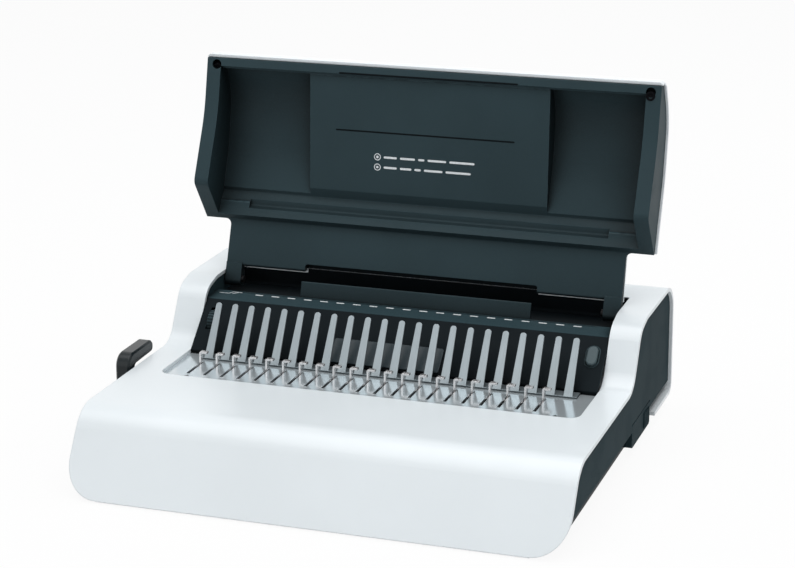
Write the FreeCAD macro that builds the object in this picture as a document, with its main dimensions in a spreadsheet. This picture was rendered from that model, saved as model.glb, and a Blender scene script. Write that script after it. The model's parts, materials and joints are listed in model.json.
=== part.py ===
"""Electric comb binding machine: punch, comb opener, lid and casing as separate pieces.

Millimetres, +Z up, +X to the right seen from the front, front face towards -Y.
The origin lies on the table under the middle of the overall box.
"""
import FreeCAD, Part
import Sketcher
import math
import os
from FreeCAD import Placement, Rotation, Vector

DOC = FreeCAD.newDocument("comb_binder")

# Driving dimensions: alias, value, what it is.
SIZES = [
    ("body_width", 391.0, "casing, side to side"),
    ("body_depth", 357.0, "casing, front to back"),
    ("deck_height", 62.0, "table to the flat deck"),
    ("arm_height", 109.0, "table to the top of the side arms"),
    ("arm_width", 24.5, "one side arm, side to side"),
    ("shell_wall", 3.0, "white casing wall"),
    ("front_gap", 2.0, "table to the lower edge of the front panel"),
    ("front_run", 38.0, "how far the front panel leans back"),
    ("crest_radius", 30.0, "round between front panel and deck"),
    ("corner_radius", 27.0, "lower corners of the front panel"),
    ("arm_root_radius", 22.0, "sweep from deck into arm"),
    ("shoulder_radius", 22.0, "round on top of the arm front"),
    ("arm_run", 24.0, "how far the arm front leans back"),
    ("back_radius", 26.0, "round at the top of the back"),
    ("back_gap", 12.0, "table to the turned-under back edge"),
    ("seam", 0.3, "gap between neighbouring casing pieces"),
    ("panel_wall", 2.5, "side panel wall"),
    ("panel_inset", 2.6, "side panel face inside the casing edge"),
    ("skirt_height", 22.0, "table to the lower edge of the side panels"),
    ("base_height", 5.0, "table to the underside of the base tray"),
    ("base_wall", 3.0, "base tray wall"),
    ("foot_radius", 13.0, "rubber foot"),
    ("foot_inset", 24.0, "foot centre from the casing side"),
    ("comb_pitch", 14.2875, "comb ring spacing, nine sixteenths of an inch"),
    ("comb_holes", 21, "punched holes along the sheet"),
    ("hinge_inset", 88.0, "lid hinge from the back of the casing"),
    ("hinge_drop", 7.0, "lid hinge below the top of the arms"),
    ("pin_radius", 3.0, "lid hinge pin"),
    ("running_gap", 0.05, "radial clearance of a turning shaft"),
    ("throat_setback", 17.0, "punch throat in front of the lid hinge"),
    ("throat_width", 4.6, "slot that takes the sheets"),
    ("shelf_setback", 40.4, "front edge of the shelf in front of the lid hinge"),
    ("shelf_drop", 13.5, "front edge of the shelf below the top of the arms"),
    ("wall_run", 37.0, "how far the back wall leans back"),
    ("wall_thickness", 2.5, "back wall and shelf"),
    ("well_length", 63.0, "deck plate, front to back"),
    ("plate_thickness", 1.5, "deck plate"),
    ("tine_setback", 11.0, "tine feet in front of the back wall"),
    ("tine_lean", 33.0, "tines lean back, degrees"),
    ("tine_length", 48.0, "tine, foot to tip"),
    ("tine_width", 7.0, "tine at its foot"),
    ("tine_tip", 4.8, "tine at its tip"),
    ("tine_thickness", 1.6, "tine and hook sheet metal"),
    ("hook_setback", 10.0, "hooks in front of the tine feet"),
    ("hook_height", 10.0, "hook above the deck"),
    ("hook_bar", 6.6, "turned top of a hook"),
    ("hook_depth", 4.0, "hook, front to back"),
    ("opener_travel", 25.0, "forward travel of the hooks"),
    ("opener_angle", 70.0, "swing of the comb lever, degrees"),
    ("lever_shaft_radius", 5.0, "cross shaft of the comb lever"),
    ("lever_thickness", 12.0, "comb lever, side to side"),
    ("lever_gap", 3.5, "comb lever beside the casing"),
    ("lever_bar", 11.0, "comb lever bar, seen from the side"),
    ("lever_reach", 45.0, "lever grip above its shaft"),
    ("grip_length", 42.0, "grip behind the lever shaft"),
    ("lid_inset", 1.5, "lid side inside the casing side"),
    ("neck_gap", 1.0, "lid neck beside each arm"),
    ("lid_rise", 186.0, "upper edge of the open lid above its hinge"),
    ("lid_corner", 6.0, "upper corners of the lid"),
    ("lid_step", 48.0, "lower edge of the wide part above the hinge"),
    ("cover_wall", 2.5, "white lid cover wall"),
    ("end_wall", 12.0, "lid end walls"),
    ("centre_panel", 204.0, "raised panel inside the lid"),
    ("bumper_radius", 4.0, "bumper holes in the lid corners"),
    ("support_width", 197.0, "paper support tab"),
    ("button_width", 8.6, "punch button"),
    ("button_length", 17.0, "punch button, up the wall"),
    ("button_travel", 2.0, "punch button travel"),
    ("wheel_radius", 11.0, "edge guide thumbwheel"),
    ("wheel_width", 6.4, "edge guide thumbwheel"),
    ("drawer_depth", 62.0, "chip drawer, front to back"),
    ("drawer_height", 15.0, "chip drawer"),
]

SHEET = DOC.addObject("Spreadsheet::Sheet", "sizes")
for row, (alias, value, meaning) in enumerate(SIZES, start=1):
    SHEET.set("A%d" % row, alias)
    SHEET.set("B%d" % row, str(value))
    SHEET.set("C%d" % row, meaning)
    SHEET.setAlias("B%d" % row, alias)
DOC.recompute()


def size(alias):
    """A driving dimension, read from the spreadsheet."""
    return float(SHEET.get(alias))


# Places worked out from the driving dimensions.
HALF = size("body_width") / 2
BACK = size("body_depth") / 2
FRONT = -BACK
DECK = size("deck_height")
WALL = size("shell_wall")
SEAM = size("seam")
ARM_INSIDE = HALF - size("arm_width")
HINGE_Y = BACK - size("hinge_inset")
HINGE_Z = size("arm_height") - size("hinge_drop")
THROAT_Y = HINGE_Y - size("throat_setback")
THROAT_FRONT = THROAT_Y - size("throat_width") / 2
THROAT_BACK = THROAT_Y + size("throat_width") / 2
SHELF_Y = HINGE_Y - size("shelf_setback")
SHELF_Z = size("arm_height") - size("shelf_drop")
WALL_FOOT = SHELF_Y - size("wall_run")
WELL_FRONT = WALL_FOOT - size("well_length")
TINE_Y = WALL_FOOT - size("tine_setback")
HOOK_Y = TINE_Y - size("hook_setback")
PITCH = size("comb_pitch")
HOLES = min(int(size("comb_holes")), int((2 * ARM_INSIDE - 30.0) / PITCH))
TINES = HOLES + 1
FIRST_TINE = -PITCH * (TINES - 1) / 2
WALL_SLOPE = math.atan2(SHELF_Z - DECK, SHELF_Y - WALL_FOOT)
PANEL_X = HALF - size("panel_inset")
FLOOR_Z = size("base_height") + size("base_wall")
PLATE_TOP = DECK - WALL
PLATE_UNDER = PLATE_TOP - size("plate_thickness")
SHIFT = (size("lever_gap") + size("lever_thickness")) / 2
PITCH_RADIUS = size("opener_travel") / math.radians(size("opener_angle"))
CARRIAGE_TOP = PLATE_UNDER - 0.5
CARRIAGE_LOW = CARRIAGE_TOP - 8.0
RACK_LINE = CARRIAGE_LOW - 2.0
LEVER_Y = HOOK_Y - 32.0
LEVER_Z = RACK_LINE - PITCH_RADIUS
LEVER_X = -HALF - size("lever_gap") - size("lever_thickness")
DRAWER_BACK = BACK - 75.0
DRAWER_FRONT = DRAWER_BACK - size("drawer_depth")
DRAWER_Z = FLOOR_Z + 0.5
INLET_X = HALF - 75.5
SWITCH_X = INLET_X - 36.0
INLET_Z = DECK - 14.0
FRAME_X = ARM_INSIDE - 11.5
PUNCH_Z = SHELF_Z - 23.5
DIE_TOP = PUNCH_Z + 11.5
PIN_WIDTH = 8.0
PIN_HEIGHT = 2.8
CAM_Y = HINGE_Y + 37.0
CAM_THROW = 5.0
CAM_RADIUS = 8.0
SHAFT_RADIUS = 4.0
BUSH_RADIUS = 8.0
PIVOT_RADIUS = 1.4
BAR_Y = THROAT_BACK + 23.0
YOKE_X = FRAME_X - 74.5
GEAR_X = ARM_INSIDE + 5.5
GEAR_MODULE = 1.25
GEAR_TEETH = 44
PINION_TEETH = 14
MESH_ANGLE = math.radians(-58)
MESH_DISTANCE = GEAR_MODULE * (GEAR_TEETH + PINION_TEETH) / 2 + 0.15
MOTOR_X = FRAME_X - 2.5
MOTOR_Y = CAM_Y + MESH_DISTANCE * math.cos(MESH_ANGLE)
MOTOR_Z = PUNCH_Z + MESH_DISTANCE * math.sin(MESH_ANGLE)

PARTS = []


def fail_if_bad(feature):
    """Stop when a feature was left invalid or empty by a recompute."""
    DOC.recompute()
    if "Invalid" in feature.State or "Error" in feature.State:
        raise RuntimeError("%s is invalid" % feature.Label)
    if feature.Shape.isNull() or not feature.Shape.isValid():
        raise RuntimeError("%s has no valid shape" % feature.Label)


def rounded(points, closed=True):
    """Lines and arcs through (u, v, radius) corners, in the XY plane."""
    corners = [Vector(u, v, 0) for u, v, radius in points]
    radii = [radius for u, v, radius in points]
    count = len(corners)
    starts = []
    ends = []
    arcs = []
    for i in range(count):
        here = corners[i]
        loose_end = not closed and i in (0, count - 1)
        if radii[i] <= 0 or loose_end:
            starts.append(here)
            ends.append(here)
            arcs.append(None)
            continue
        to_last = (corners[i - 1] - here).normalize()
        to_next = (corners[(i + 1) % count] - here).normalize()
        half_angle = to_last.getAngle(to_next) / 2
        tangent = radii[i] / math.tan(half_angle)
        middle = (to_last + to_next).normalize()
        centre = here + middle * (radii[i] / math.sin(half_angle))
        starts.append(here + to_last * tangent)
        ends.append(here + to_next * tangent)
        arcs.append(Part.Arc(starts[-1], centre - middle * radii[i], ends[-1]))
    geometry = []
    for i in range(count):
        if arcs[i]:
            geometry.append(arcs[i])
        last_corner = not closed and i == count - 1
        if last_corner:
            break
        follower = starts[(i + 1) % count]
        if ends[i].distanceToPoint(follower) > 1e-6:
            geometry.append(Part.LineSegment(ends[i], follower))
    return geometry


def wire_of(geometry):
    return Part.Wire([piece.toShape() for piece in geometry])


def geometry_of(wire):
    """Sketch geometry that repeats the lines and arcs of a planar wire."""
    geometry = []
    for edge in wire.OrderedEdges:
        if isinstance(edge.Curve, Part.Circle):
            middle = edge.valueAt((edge.FirstParameter + edge.LastParameter) / 2)
            ends = [vertex.Point for vertex in edge.Vertexes]
            if len(ends) == 1:
                geometry.append(Part.Circle(edge.Curve.Center, Vector(0, 0, 1), edge.Curve.Radius))
            else:
                geometry.append(Part.Arc(ends[0], middle, ends[1]))
        else:
            geometry.append(Part.LineSegment(edge.Vertexes[0].Point, edge.Vertexes[1].Point))
    return geometry


def rectangle(u0, v0, u1, v1, radius=0.0):
    return rounded([(u0, v0, radius), (u1, v0, radius), (u1, v1, radius), (u0, v1, radius)])


def slot_outline(centre_u, centre_v, width, length):
    """A stadium standing along v."""
    radius = width / 2
    left = centre_u - radius
    right = centre_u + radius
    low = centre_v - length / 2 + radius
    high = centre_v + length / 2 - radius
    return [
        Part.LineSegment(Vector(left, high, 0), Vector(left, low, 0)),
        Part.Arc(Vector(left, low, 0), Vector(centre_u, low - radius, 0), Vector(right, low, 0)),
        Part.LineSegment(Vector(right, low, 0), Vector(right, high, 0)),
        Part.Arc(Vector(right, high, 0), Vector(centre_u, high + radius, 0), Vector(left, high, 0)),
    ]


def corner_waste(u, v, side, up, radius):
    """The bit outside a quarter round, to cut a square corner at (u, v) round."""
    inside_u = u - side * radius
    inside_v = v - up * radius
    reach = radius * math.sqrt(0.5)
    return [
        Part.Arc(Vector(inside_u, v, 0), Vector(inside_u + side * reach, inside_v + up * reach, 0),
                 Vector(u, inside_v, 0)),
        Part.LineSegment(Vector(u, inside_v, 0), Vector(u + side * 2, inside_v, 0)),
        Part.LineSegment(Vector(u + side * 2, inside_v, 0), Vector(u + side * 2, v + up * 2, 0)),
        Part.LineSegment(Vector(u + side * 2, v + up * 2, 0), Vector(inside_u, v + up * 2, 0)),
        Part.LineSegment(Vector(inside_u, v + up * 2, 0), Vector(inside_u, v, 0)),
    ]


def circle(u, v, radius):
    return [Part.Circle(Vector(u, v, 0), Vector(0, 0, 1), radius)]


def strip(points, wall, side):
    """Closed outline of a wall that follows an open line; side is 1 or -1."""
    face = wire_of(rounded(points, closed=False)).makeOffset2D(side * wall, 0, True, True)
    return geometry_of(face.OuterWire)


def new_body(label):
    body = DOC.addObject("PartDesign::Body", label)
    body.Label = label
    PARTS.append(body)
    return body


def sketch(body, role, *outlines, place=None):
    """A sketch on one of the body's own origin planes, moved by an optional placement."""
    drawing = body.newObject("Sketcher::SketchObject", body.Label + "_sketch")
    plane = [f for f in body.Origin.OriginFeatures if f.Role == role][0]
    drawing.AttachmentSupport = [(plane, "")]
    drawing.MapMode = "FlatFace"
    if place:
        drawing.AttachmentOffset = place
    for outline in outlines:
        drawing.addGeometry(outline, False)
    return drawing


def lift(distance):
    return Placement(Vector(0, 0, distance), Rotation())


def bind(feature, name, amount):
    """Set a length from a number or from an expression on the sheet."""
    if isinstance(amount, str):
        feature.setExpression(name, amount)
    else:
        setattr(feature, name, amount)


def pad(body, drawing, amount, both_ways=False, back=False, taper=0.0):
    feature = body.newObject("PartDesign::Pad", body.Label + "_pad")
    feature.Profile = drawing
    feature.Midplane = both_ways
    feature.Reversed = back
    feature.TaperAngle = taper
    bind(feature, "Length", amount)
    fail_if_bad(feature)
    body.Tip = feature
    return feature


def pocket(body, drawing, amount, both_ways=False, back=False):
    """Cut the body, and make sure that the cut took material away."""
    before = body.Tip.Shape.Volume
    feature = body.newObject("PartDesign::Pocket", body.Label + "_pocket")
    feature.Profile = drawing
    feature.Midplane = both_ways
    feature.Reversed = back
    bind(feature, "Length", amount)
    fail_if_bad(feature)
    if feature.Shape.Volume > before - 0.01:
        raise RuntimeError("%s cuts nothing" % feature.Label)
    body.Tip = feature
    return feature


def repeat(body, features, axis_role, length, count):
    pattern = body.newObject("PartDesign::LinearPattern", body.Label + "_row")
    pattern.Originals = features
    axis = [f for f in body.Origin.OriginFeatures if f.Role == axis_role][0]
    pattern.Direction = (axis, [""])
    pattern.Length = length
    pattern.Occurrences = count
    fail_if_bad(pattern)
    body.Tip = pattern
    return pattern


def chamfer(body, edge_names, width):
    """Break edges of the body's last solid."""
    solid = body.Tip
    feature = body.newObject("PartDesign::Chamfer", body.Label + "_chamfer")
    feature.Base = (solid, edge_names)
    bind(feature, "Size", width)
    fail_if_bad(feature)
    body.Tip = feature
    return feature


def edges_where(body, test):
    """Names of the tip's edges whose middle point passes a test."""
    names = []
    for number, edge in enumerate(body.Tip.Shape.Edges, start=1):
        middle = edge.valueAt((edge.FirstParameter + edge.LastParameter) / 2)
        if test(edge, middle):
            names.append("Edge%d" % number)
    return names


def plain(kind, label, place=None, **values):
    """A Part primitive whose sizes are numbers or expressions on the sheet."""
    solid = DOC.addObject("Part::" + kind, label)
    solid.Label = label
    for name, amount in values.items():
        bind(solid, name, amount)
    if place:
        solid.Placement = place
    return solid


def joined(label, solids):
    whole = DOC.addObject("Part::MultiFuse", label)
    whole.Label = label
    whole.Shapes = solids
    PARTS.append(whole)
    return whole


def plates(label, outline, holes, starts, thickness):
    """Equal plates across X with one side outline (y, z) and holes in it."""
    face = Part.Face(wire_of(outline))
    for hole in holes:
        face = face.cut(Part.Face(wire_of(hole)))
    face.rotate(Vector(0, 0, 0), Vector(1, 1, 1), 120)
    solids = []
    for x in starts:
        copy = face.Faces[0].extrude(Vector(thickness, 0, 0))
        copy.translate(Vector(x, 0, 0))
        solids.append(copy)
    return set_of(label, solids)


def set_of(label, shapes):
    """Like pieces that share one node, or a form that no feature fits."""
    group = DOC.addObject("Part::Feature", label)
    group.Label = label
    group.Shape = Part.makeCompound(shapes) if len(shapes) > 1 else shapes[0]
    PARTS.append(group)
    return group


def on_wall(up_wall, out=0.0):
    """A plane lying on the back wall: u along X, v up the wall, w out of it."""
    slope = Rotation(Vector(1, 0, 0), math.degrees(WALL_SLOPE))
    foot = Vector(0, WALL_FOOT, DECK)
    return Placement(foot + slope.multVec(Vector(0, up_wall, out)), slope)


WALL_LENGTH = math.hypot(SHELF_Y - WALL_FOOT, SHELF_Z - DECK)
CONTROL_UP = 0.62 * WALL_LENGTH
CONTROL_X = ARM_INSIDE - 10.5
SCREW_RADIUS = 2.4
WHEEL_X = -CONTROL_X


WHEEL_CENTRE = on_wall(CONTROL_UP, 3.0 - size("wheel_radius")).Base
WHEEL_Y = WHEEL_CENTRE.y
WHEEL_Z = WHEEL_CENTRE.z


# ---------------------------------------------------------------- casing

def casing_line():
    """The white casing seen from the side, from the front edge over the arms to the back."""
    front_top = FRONT + size("front_run")
    arm_foot = WALL_FOOT + 14.0
    arm = size("arm_height")
    return [
        (FRONT, size("front_gap"), 0),
        (front_top, DECK, size("crest_radius")),
        (arm_foot, DECK, size("arm_root_radius")),
        (arm_foot + size("arm_run"), arm - 5.0, size("shoulder_radius")),
        (arm_foot + size("arm_run") + 22.0, arm, 30.0),
        (BACK - 3.0, arm, size("back_radius")),
        (BACK, size("back_gap"), 9.0),
        (BACK - 66.0, size("back_gap"), 0),
    ]


def casing_inside(gap, floor):
    """Outline of the room inside the casing, a gap away from its wall and above a floor."""
    closed = wire_of(rounded(casing_line(), closed=False))
    first = closed.OrderedVertexes[0].Point
    last = closed.OrderedVertexes[-1].Point
    low = Vector(last.x, -20.0, 0)
    corner = Vector(first.x - 12.0, -20.0, 0)
    ring = Part.Wire(closed.OrderedEdges + [
        Part.makeLine(last, low),
        Part.makeLine(low, corner),
        Part.makeLine(corner, first),
    ])
    face = Part.Face(ring).makeOffset2D(-gap, 0)
    window = Part.makePlane(2 * BACK + 40, 300, Vector(FRONT - 20, floor, 0))
    return Part.Face(face.common(window).Faces[0].OuterWire)


def top_housing():
    body = new_body("top_housing")
    outline = strip(casing_line(), WALL, 1)
    pad(body, sketch(body, "YZ_Plane", outline), "sizes.body_width", both_ways=True)
    opening = rounded([
        (-ARM_INSIDE, WELL_FRONT, 9.0),
        (ARM_INSIDE, WELL_FRONT, 9.0),
        (ARM_INSIDE, HINGE_Y + 27.0, 1.0),
        (-ARM_INSIDE, HINGE_Y + 27.0, 1.0),
    ])
    pocket(body, sketch(body, "XY_Plane", opening, place=lift(DECK / 2)), 200.0, back=True)
    corners = []
    for side in (-1, 1):
        corners += corner_waste(side * HALF, casing_line()[0][1], side, -1, size("corner_radius"))
    pocket(body, sketch(body, "XZ_Plane", corners, place=lift(-FRONT - 60)), 80.0, back=True)
    inlet = rectangle(INLET_X - 14.2, INLET_Z - 10.2, INLET_X + 14.2, INLET_Z + 10.2, 2.0)
    switch = rectangle(SWITCH_X - 10.7, INLET_Z - 8.2, SWITCH_X + 10.7, INLET_Z + 8.2, 1.0)
    pocket(body, sketch(body, "XZ_Plane", inlet, switch, place=lift(-BACK - 1)), 12.0, back=True)


def side_panel(label, side):
    """Dark side panel set into the casing edge, with its screw bosses inside."""
    body = new_body(label)
    face = casing_inside(WALL + SEAM, size("skirt_height"))
    outline = geometry_of(face.OuterWire)
    start = PANEL_X if side > 0 else -PANEL_X
    drawing = sketch(body, "YZ_Plane", outline, place=lift(start))
    pad(body, drawing, "sizes.panel_wall", back=side > 0)
    bosses = []
    for y, z in ((FRONT + 62, 40.0), (BACK - 20, 88.0), (10.0, 40.0)):
        bosses += circle(y, z, 4.0)
    inside = start - side * size("panel_wall")
    pad(body, sketch(body, "YZ_Plane", bosses, place=lift(inside)), 8.0, back=side > 0)
    return body


def side_panel_left():
    body = side_panel("side_panel_left", -1)
    hole = circle(LEVER_Y, LEVER_Z, size("lever_shaft_radius") + 0.6)
    pocket(body, sketch(body, "YZ_Plane", hole, place=lift(-PANEL_X - 1)), 8.0, back=True)


def side_panel_right():
    body = side_panel("side_panel_right", 1)
    door = rectangle(DRAWER_FRONT - 1, 0, DRAWER_BACK + 1, DRAWER_Z + size("drawer_height") + 5, 0)
    pocket(body, sketch(body, "YZ_Plane", door, place=lift(PANEL_X + 1)), 14.0)


def base_tray():
    """Black floor tray with drafted walls, a drawer opening and screw posts."""
    body = new_body("base_tray")
    low = size("base_height")
    half_x = HALF - 11.0
    outer = rectangle(-half_x, FRONT + 30, half_x, BACK - 70, 14.0)
    pad(body, sketch(body, "XY_Plane", outer, place=lift(low)), size("skirt_height") - 2 - low)
    wall = size("base_wall")
    inner = rectangle(-half_x + wall, FRONT + 30 + wall, half_x - wall, BACK - 70 - wall, 11.0)
    top = size("skirt_height") - 2
    pocket(body, sketch(body, "XY_Plane", inner, place=lift(top)), top - FLOOR_Z)
    door = rectangle(DRAWER_FRONT - 1, FLOOR_Z - 0.2, DRAWER_BACK + 1, 60)
    pocket(body, sketch(body, "YZ_Plane", door, place=lift(half_x - 10)), 20.0, back=True)
    posts = []
    for x, y in screw_places():
        posts += circle(x, y, 5.0)
    pad(body, sketch(body, "XY_Plane", posts, place=lift(FLOOR_Z - 1)), 9.0)
    recess = []
    for x, y in screw_places():
        recess += circle(x, y, 3.4)
    pocket(body, sketch(body, "XY_Plane", recess, place=lift(low - 1)), 2.8, back=True)


def screw_places():
    x = HALF - 23.0
    return [(side * x, y) for side in (-1, 1) for y in (FRONT + 68.0, DRAWER_FRONT - 12.0)]


def rubber_feet():
    """Four domed rubber feet, group of separate solids."""
    radius = size("foot_radius")
    height = size("base_height")
    edge = 1.2
    tread = Part.makeCone(radius - 2.2, radius - 0.8, edge)
    foot = Part.makeCone(radius - 0.8, radius, height - edge, Vector(0, 0, edge)).fuse(tread)
    x = HALF - size("foot_inset")
    feet = []
    for place in ((-x, FRONT + 46), (x, FRONT + 46), (-x, BACK - 86), (x, BACK - 86)):
        copy = foot.copy()
        copy.translate(Vector(place[0], place[1], 0))
        feet.append(copy)
    set_of("rubber_feet", feet)


def arm_lining(label, side):
    """Dark wall that closes the inner side of a hollow arm and carries the lid pin."""
    body = new_body(label)
    room = casing_inside(WALL + SEAM, DECK - 8.0)
    window = Part.makePlane(HINGE_Y + 26 - WALL_FOOT - 3, 200, Vector(WALL_FOOT + 3, 0, 0))
    outline = geometry_of(room.common(window).Faces[0].OuterWire)
    start = side * (ARM_INSIDE + SEAM)
    hole = circle(HINGE_Y, HINGE_Z, size("pin_radius"))
    back = side < 0
    pad(body, sketch(body, "YZ_Plane", outline, hole, place=lift(start)), 2.2, back=back)


def punch_housing():
    """Sloping back wall, shelf and throat lip behind the tines, with three openings."""
    body = new_body("punch_housing")
    line = [
        (WALL_FOOT, DECK - 10.0, 0),
        (WALL_FOOT, DECK, 2.0),
        (SHELF_Y, SHELF_Z, 2.6),
        (THROAT_FRONT, SHELF_Z + 2.0, 1.3),
        (THROAT_FRONT, SHELF_Z - 5.5, 0),
    ]
    outline = strip(line, size("wall_thickness"), 1)
    drawing = sketch(body, "YZ_Plane", outline)
    pad(body, drawing, 2 * (ARM_INSIDE - SEAM), both_ways=True)
    up = on_wall(CONTROL_UP, 2.0)
    gap = 0.5
    button = slot_outline(CONTROL_X, 0, size("button_width") + gap, size("button_length") + gap)
    wheel = rectangle(WHEEL_X - size("wheel_width") / 2 - gap, 0.6 - size("wheel_radius"),
                      WHEEL_X + size("wheel_width") / 2 + gap, size("wheel_radius") - 0.6, 1.0)
    pocket(body, sketch(body, "XY_Plane", button, wheel, place=up), 6.0)


def wall_insert():
    """Plain lighter panel low on the back wall, between the tines."""
    body = new_body("wall_insert")
    outline = rectangle(-51.0, -11.0, 41.0, 11.0, 2.0)
    pad(body, sketch(body, "XY_Plane", outline, place=on_wall(13.0)), 1.0)


def hinge_trough():
    """Dark channel behind the throat: rear guide of the sheets and well of the lid hinge."""
    body = new_body("hinge_trough")
    low = HINGE_Z - 10.5
    line = [
        (THROAT_BACK, PUNCH_Z + 12.0, 0),
        (THROAT_BACK, SHELF_Z - 1.0, 1.5),
        (THROAT_BACK + 4.0, SHELF_Z - 1.0, 1.0),
        (THROAT_BACK + 6.0, low, 2.0),
        (HINGE_Y + 24.0, low, 3.0),
        (HINGE_Y + 24.0, size("arm_height") - 0.2, 0),
    ]
    outline = strip(line, 2.0, 1)
    drawing = sketch(body, "YZ_Plane", outline)
    pad(body, drawing, 2 * (ARM_INSIDE - SEAM), both_ways=True)


def paper_support():
    """Centre tab that the sheets lean on while they are punched."""
    body = new_body("paper_support")
    base = THROAT_BACK + 0.3
    outline = rounded([
        (base, SHELF_Z - 1.0, 0), (base + 3.4, SHELF_Z - 1.0, 0),
        (base + 5.6, HINGE_Z + 5.9, 0.8), (base + 3.9, HINGE_Z + 5.9, 0.8),
    ])
    drawing = sketch(body, "YZ_Plane", outline)
    pad(body, drawing, "sizes.support_width", both_ways=True)


# ---------------------------------------------------------------- comb opener

def comb_deck():
    """Bright deck plate with a slot in front of every tine but the last."""
    body = new_body("comb_deck")
    edge = ARM_INSIDE + 2.0
    outline = rectangle(-edge, WELL_FRONT - 4.0, edge, WALL_FOOT, 2.0)
    plate = sketch(body, "XY_Plane", outline, place=lift(PLATE_TOP))
    pad(body, plate, "sizes.plate_thickness", back=True)
    hook_x = FIRST_TINE - size("hook_bar") / 2 + size("tine_thickness") / 2
    width = size("tine_thickness") + 1.0
    low = HOOK_Y - size("opener_travel") - size("hook_depth") / 2 - 0.8
    high = HOOK_Y + size("hook_depth") / 2 + 0.8
    cut = rectangle(hook_x - width / 2, low, hook_x + width / 2, high)
    first = pocket(body, sketch(body, "XY_Plane", cut, place=lift(PLATE_TOP)), 4.0)
    repeat(body, [first], "X_Axis", PITCH * (HOLES - 1), HOLES)


def tine_plate():
    """Comb of tapered, leaning tines that hold the spine of the binding comb."""
    body = new_body("tine_plate")
    metal = size("tine_thickness")
    edge = -FIRST_TINE + 7.0
    foot = rectangle(-edge, TINE_Y - 1.0, edge, WALL_FOOT - 0.4)
    pad(body, sketch(body, "XY_Plane", foot, place=lift(PLATE_TOP)), "sizes.tine_thickness")
    lean = Rotation(Vector(1, 0, 0), 90 - size("tine_lean"))
    place = Placement(Vector(0, TINE_Y, PLATE_TOP), lean)
    half_foot = size("tine_width") / 2
    half_tip = size("tine_tip") / 2
    tine = rounded([
        (FIRST_TINE - half_foot, metal / 2, 0),
        (FIRST_TINE + half_foot, metal / 2, 0),
        (FIRST_TINE + half_tip, size("tine_length"), half_tip - 0.2),
        (FIRST_TINE - half_tip, size("tine_length"), half_tip - 0.2),
    ])
    first = pad(body, sketch(body, "XY_Plane", tine, place=place), "sizes.tine_thickness")
    repeat(body, [first], "X_Axis", PITCH * (TINES - 1), TINES)


def trapezoid_tooth(module):
    """Half widths of a rack tooth at its root, pitch line and tip, with running play."""
    half_pitch = math.pi * module / 4 - 0.16
    flank = module * math.tan(math.radians(20))
    return half_pitch + 1.1 * flank, half_pitch, half_pitch - 0.9 * flank


SECTOR_TEETH = 26
RACK_MODULE = 2 * PITCH_RADIUS / SECTOR_TEETH
RACK_X = 118.0
RACK_WIDTH = 8.0


def hook_carriage():
    """Sliding bar under the deck with one bent hook for each comb ring and two racks."""
    body = new_body("hook_carriage")
    reach = -FIRST_TINE + 5.0
    bar = rectangle(-reach, HOOK_Y - 6.0, reach, HOOK_Y + 6.0, 2.0)
    bar_sketch = sketch(body, "XY_Plane", bar, place=lift(CARRIAGE_LOW))
    pad(body, bar_sketch, CARRIAGE_TOP - CARRIAGE_LOW)
    metal = size("tine_thickness")
    left = FIRST_TINE - size("hook_bar") / 2
    right = left + size("hook_bar")
    low = CARRIAGE_TOP - 1.0
    high = PLATE_TOP + size("hook_height")
    hook = rounded([
        (left, low, 0), (left + metal, low, 0), (left + metal, high - metal, 0),
        (right, high - metal, 0), (right, high, 0), (left + 1.0, high, 0), (left, high - 1.0, 0),
    ])
    hook_sketch = sketch(body, "XZ_Plane", hook, place=lift(-HOOK_Y))
    first = pad(body, hook_sketch, "sizes.hook_depth", both_ways=True)
    repeat(body, [first], "X_Axis", PITCH * (HOLES - 1), HOLES)
    pitch = math.pi * RACK_MODULE
    root, middle, tip = trapezoid_tooth(RACK_MODULE)
    after = 5
    before = 2
    teeth = int(math.ceil(size("opener_travel") / pitch)) + after
    top = CARRIAGE_LOW + 1.0
    points = [(LEVER_Y - before * pitch - root, top, 0)]
    for i in range(-before, teeth - before):
        y = LEVER_Y + i * pitch
        points += [
            (y - root, RACK_LINE + 1.1 * RACK_MODULE, 0),
            (y - tip, RACK_LINE - 0.9 * RACK_MODULE, 0),
            (y + tip, RACK_LINE - 0.9 * RACK_MODULE, 0),
            (y + root, RACK_LINE + 1.1 * RACK_MODULE, 0),
        ]
    points.append((LEVER_Y + (teeth - before - 1) * pitch + root, top, 0))
    for x in (-RACK_X, RACK_X):
        drawing = sketch(body, "YZ_Plane", rounded(points), place=lift(x))
        pad(body, drawing, RACK_WIDTH, both_ways=True)


def carriage_rails():
    """Two L rails under the deck plate that the carriage slides on."""
    reach = -FIRST_TINE + 5.0
    rails = []
    low = CARRIAGE_LOW - 2.2
    for side in (-1, 1):
        outline = wire_of(rounded([
            (side * (reach - 8.0), low, 0), (side * (reach + 2.5), low, 1.5),
            (side * (reach + 2.5), PLATE_UNDER, 0), (side * (reach + 0.5), PLATE_UNDER, 0),
            (side * (reach + 0.5), low + 2.0, 0), (side * (reach - 8.0), low + 2.0, 0),
        ]))
        face = Part.Face(outline)
        face.rotate(Vector(0, 0, 0), Vector(1, 0, 0), 90)
        face.translate(Vector(0, WALL_FOOT - 6.0, 0))
        rails.append(face.extrude(Vector(0, HOOK_Y - size("opener_travel") - WALL_FOOT - 4.0, 0)))
    set_of("carriage_rails", rails)


def gear_teeth(module, pitch_radius, angles):
    """Straight-flanked teeth about an origin, as points around the given angles."""
    root, middle, tip = trapezoid_tooth(module)
    low = pitch_radius - 1.15 * module
    high = pitch_radius + 0.85 * module
    points = []
    for angle in angles:
        points += [
            (low, angle - root / pitch_radius), (high, angle - tip / pitch_radius),
            (high, angle + tip / pitch_radius), (low, angle + root / pitch_radius),
        ]
    return [(r * math.cos(a), r * math.sin(a), 0) for r, a in points]


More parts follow.
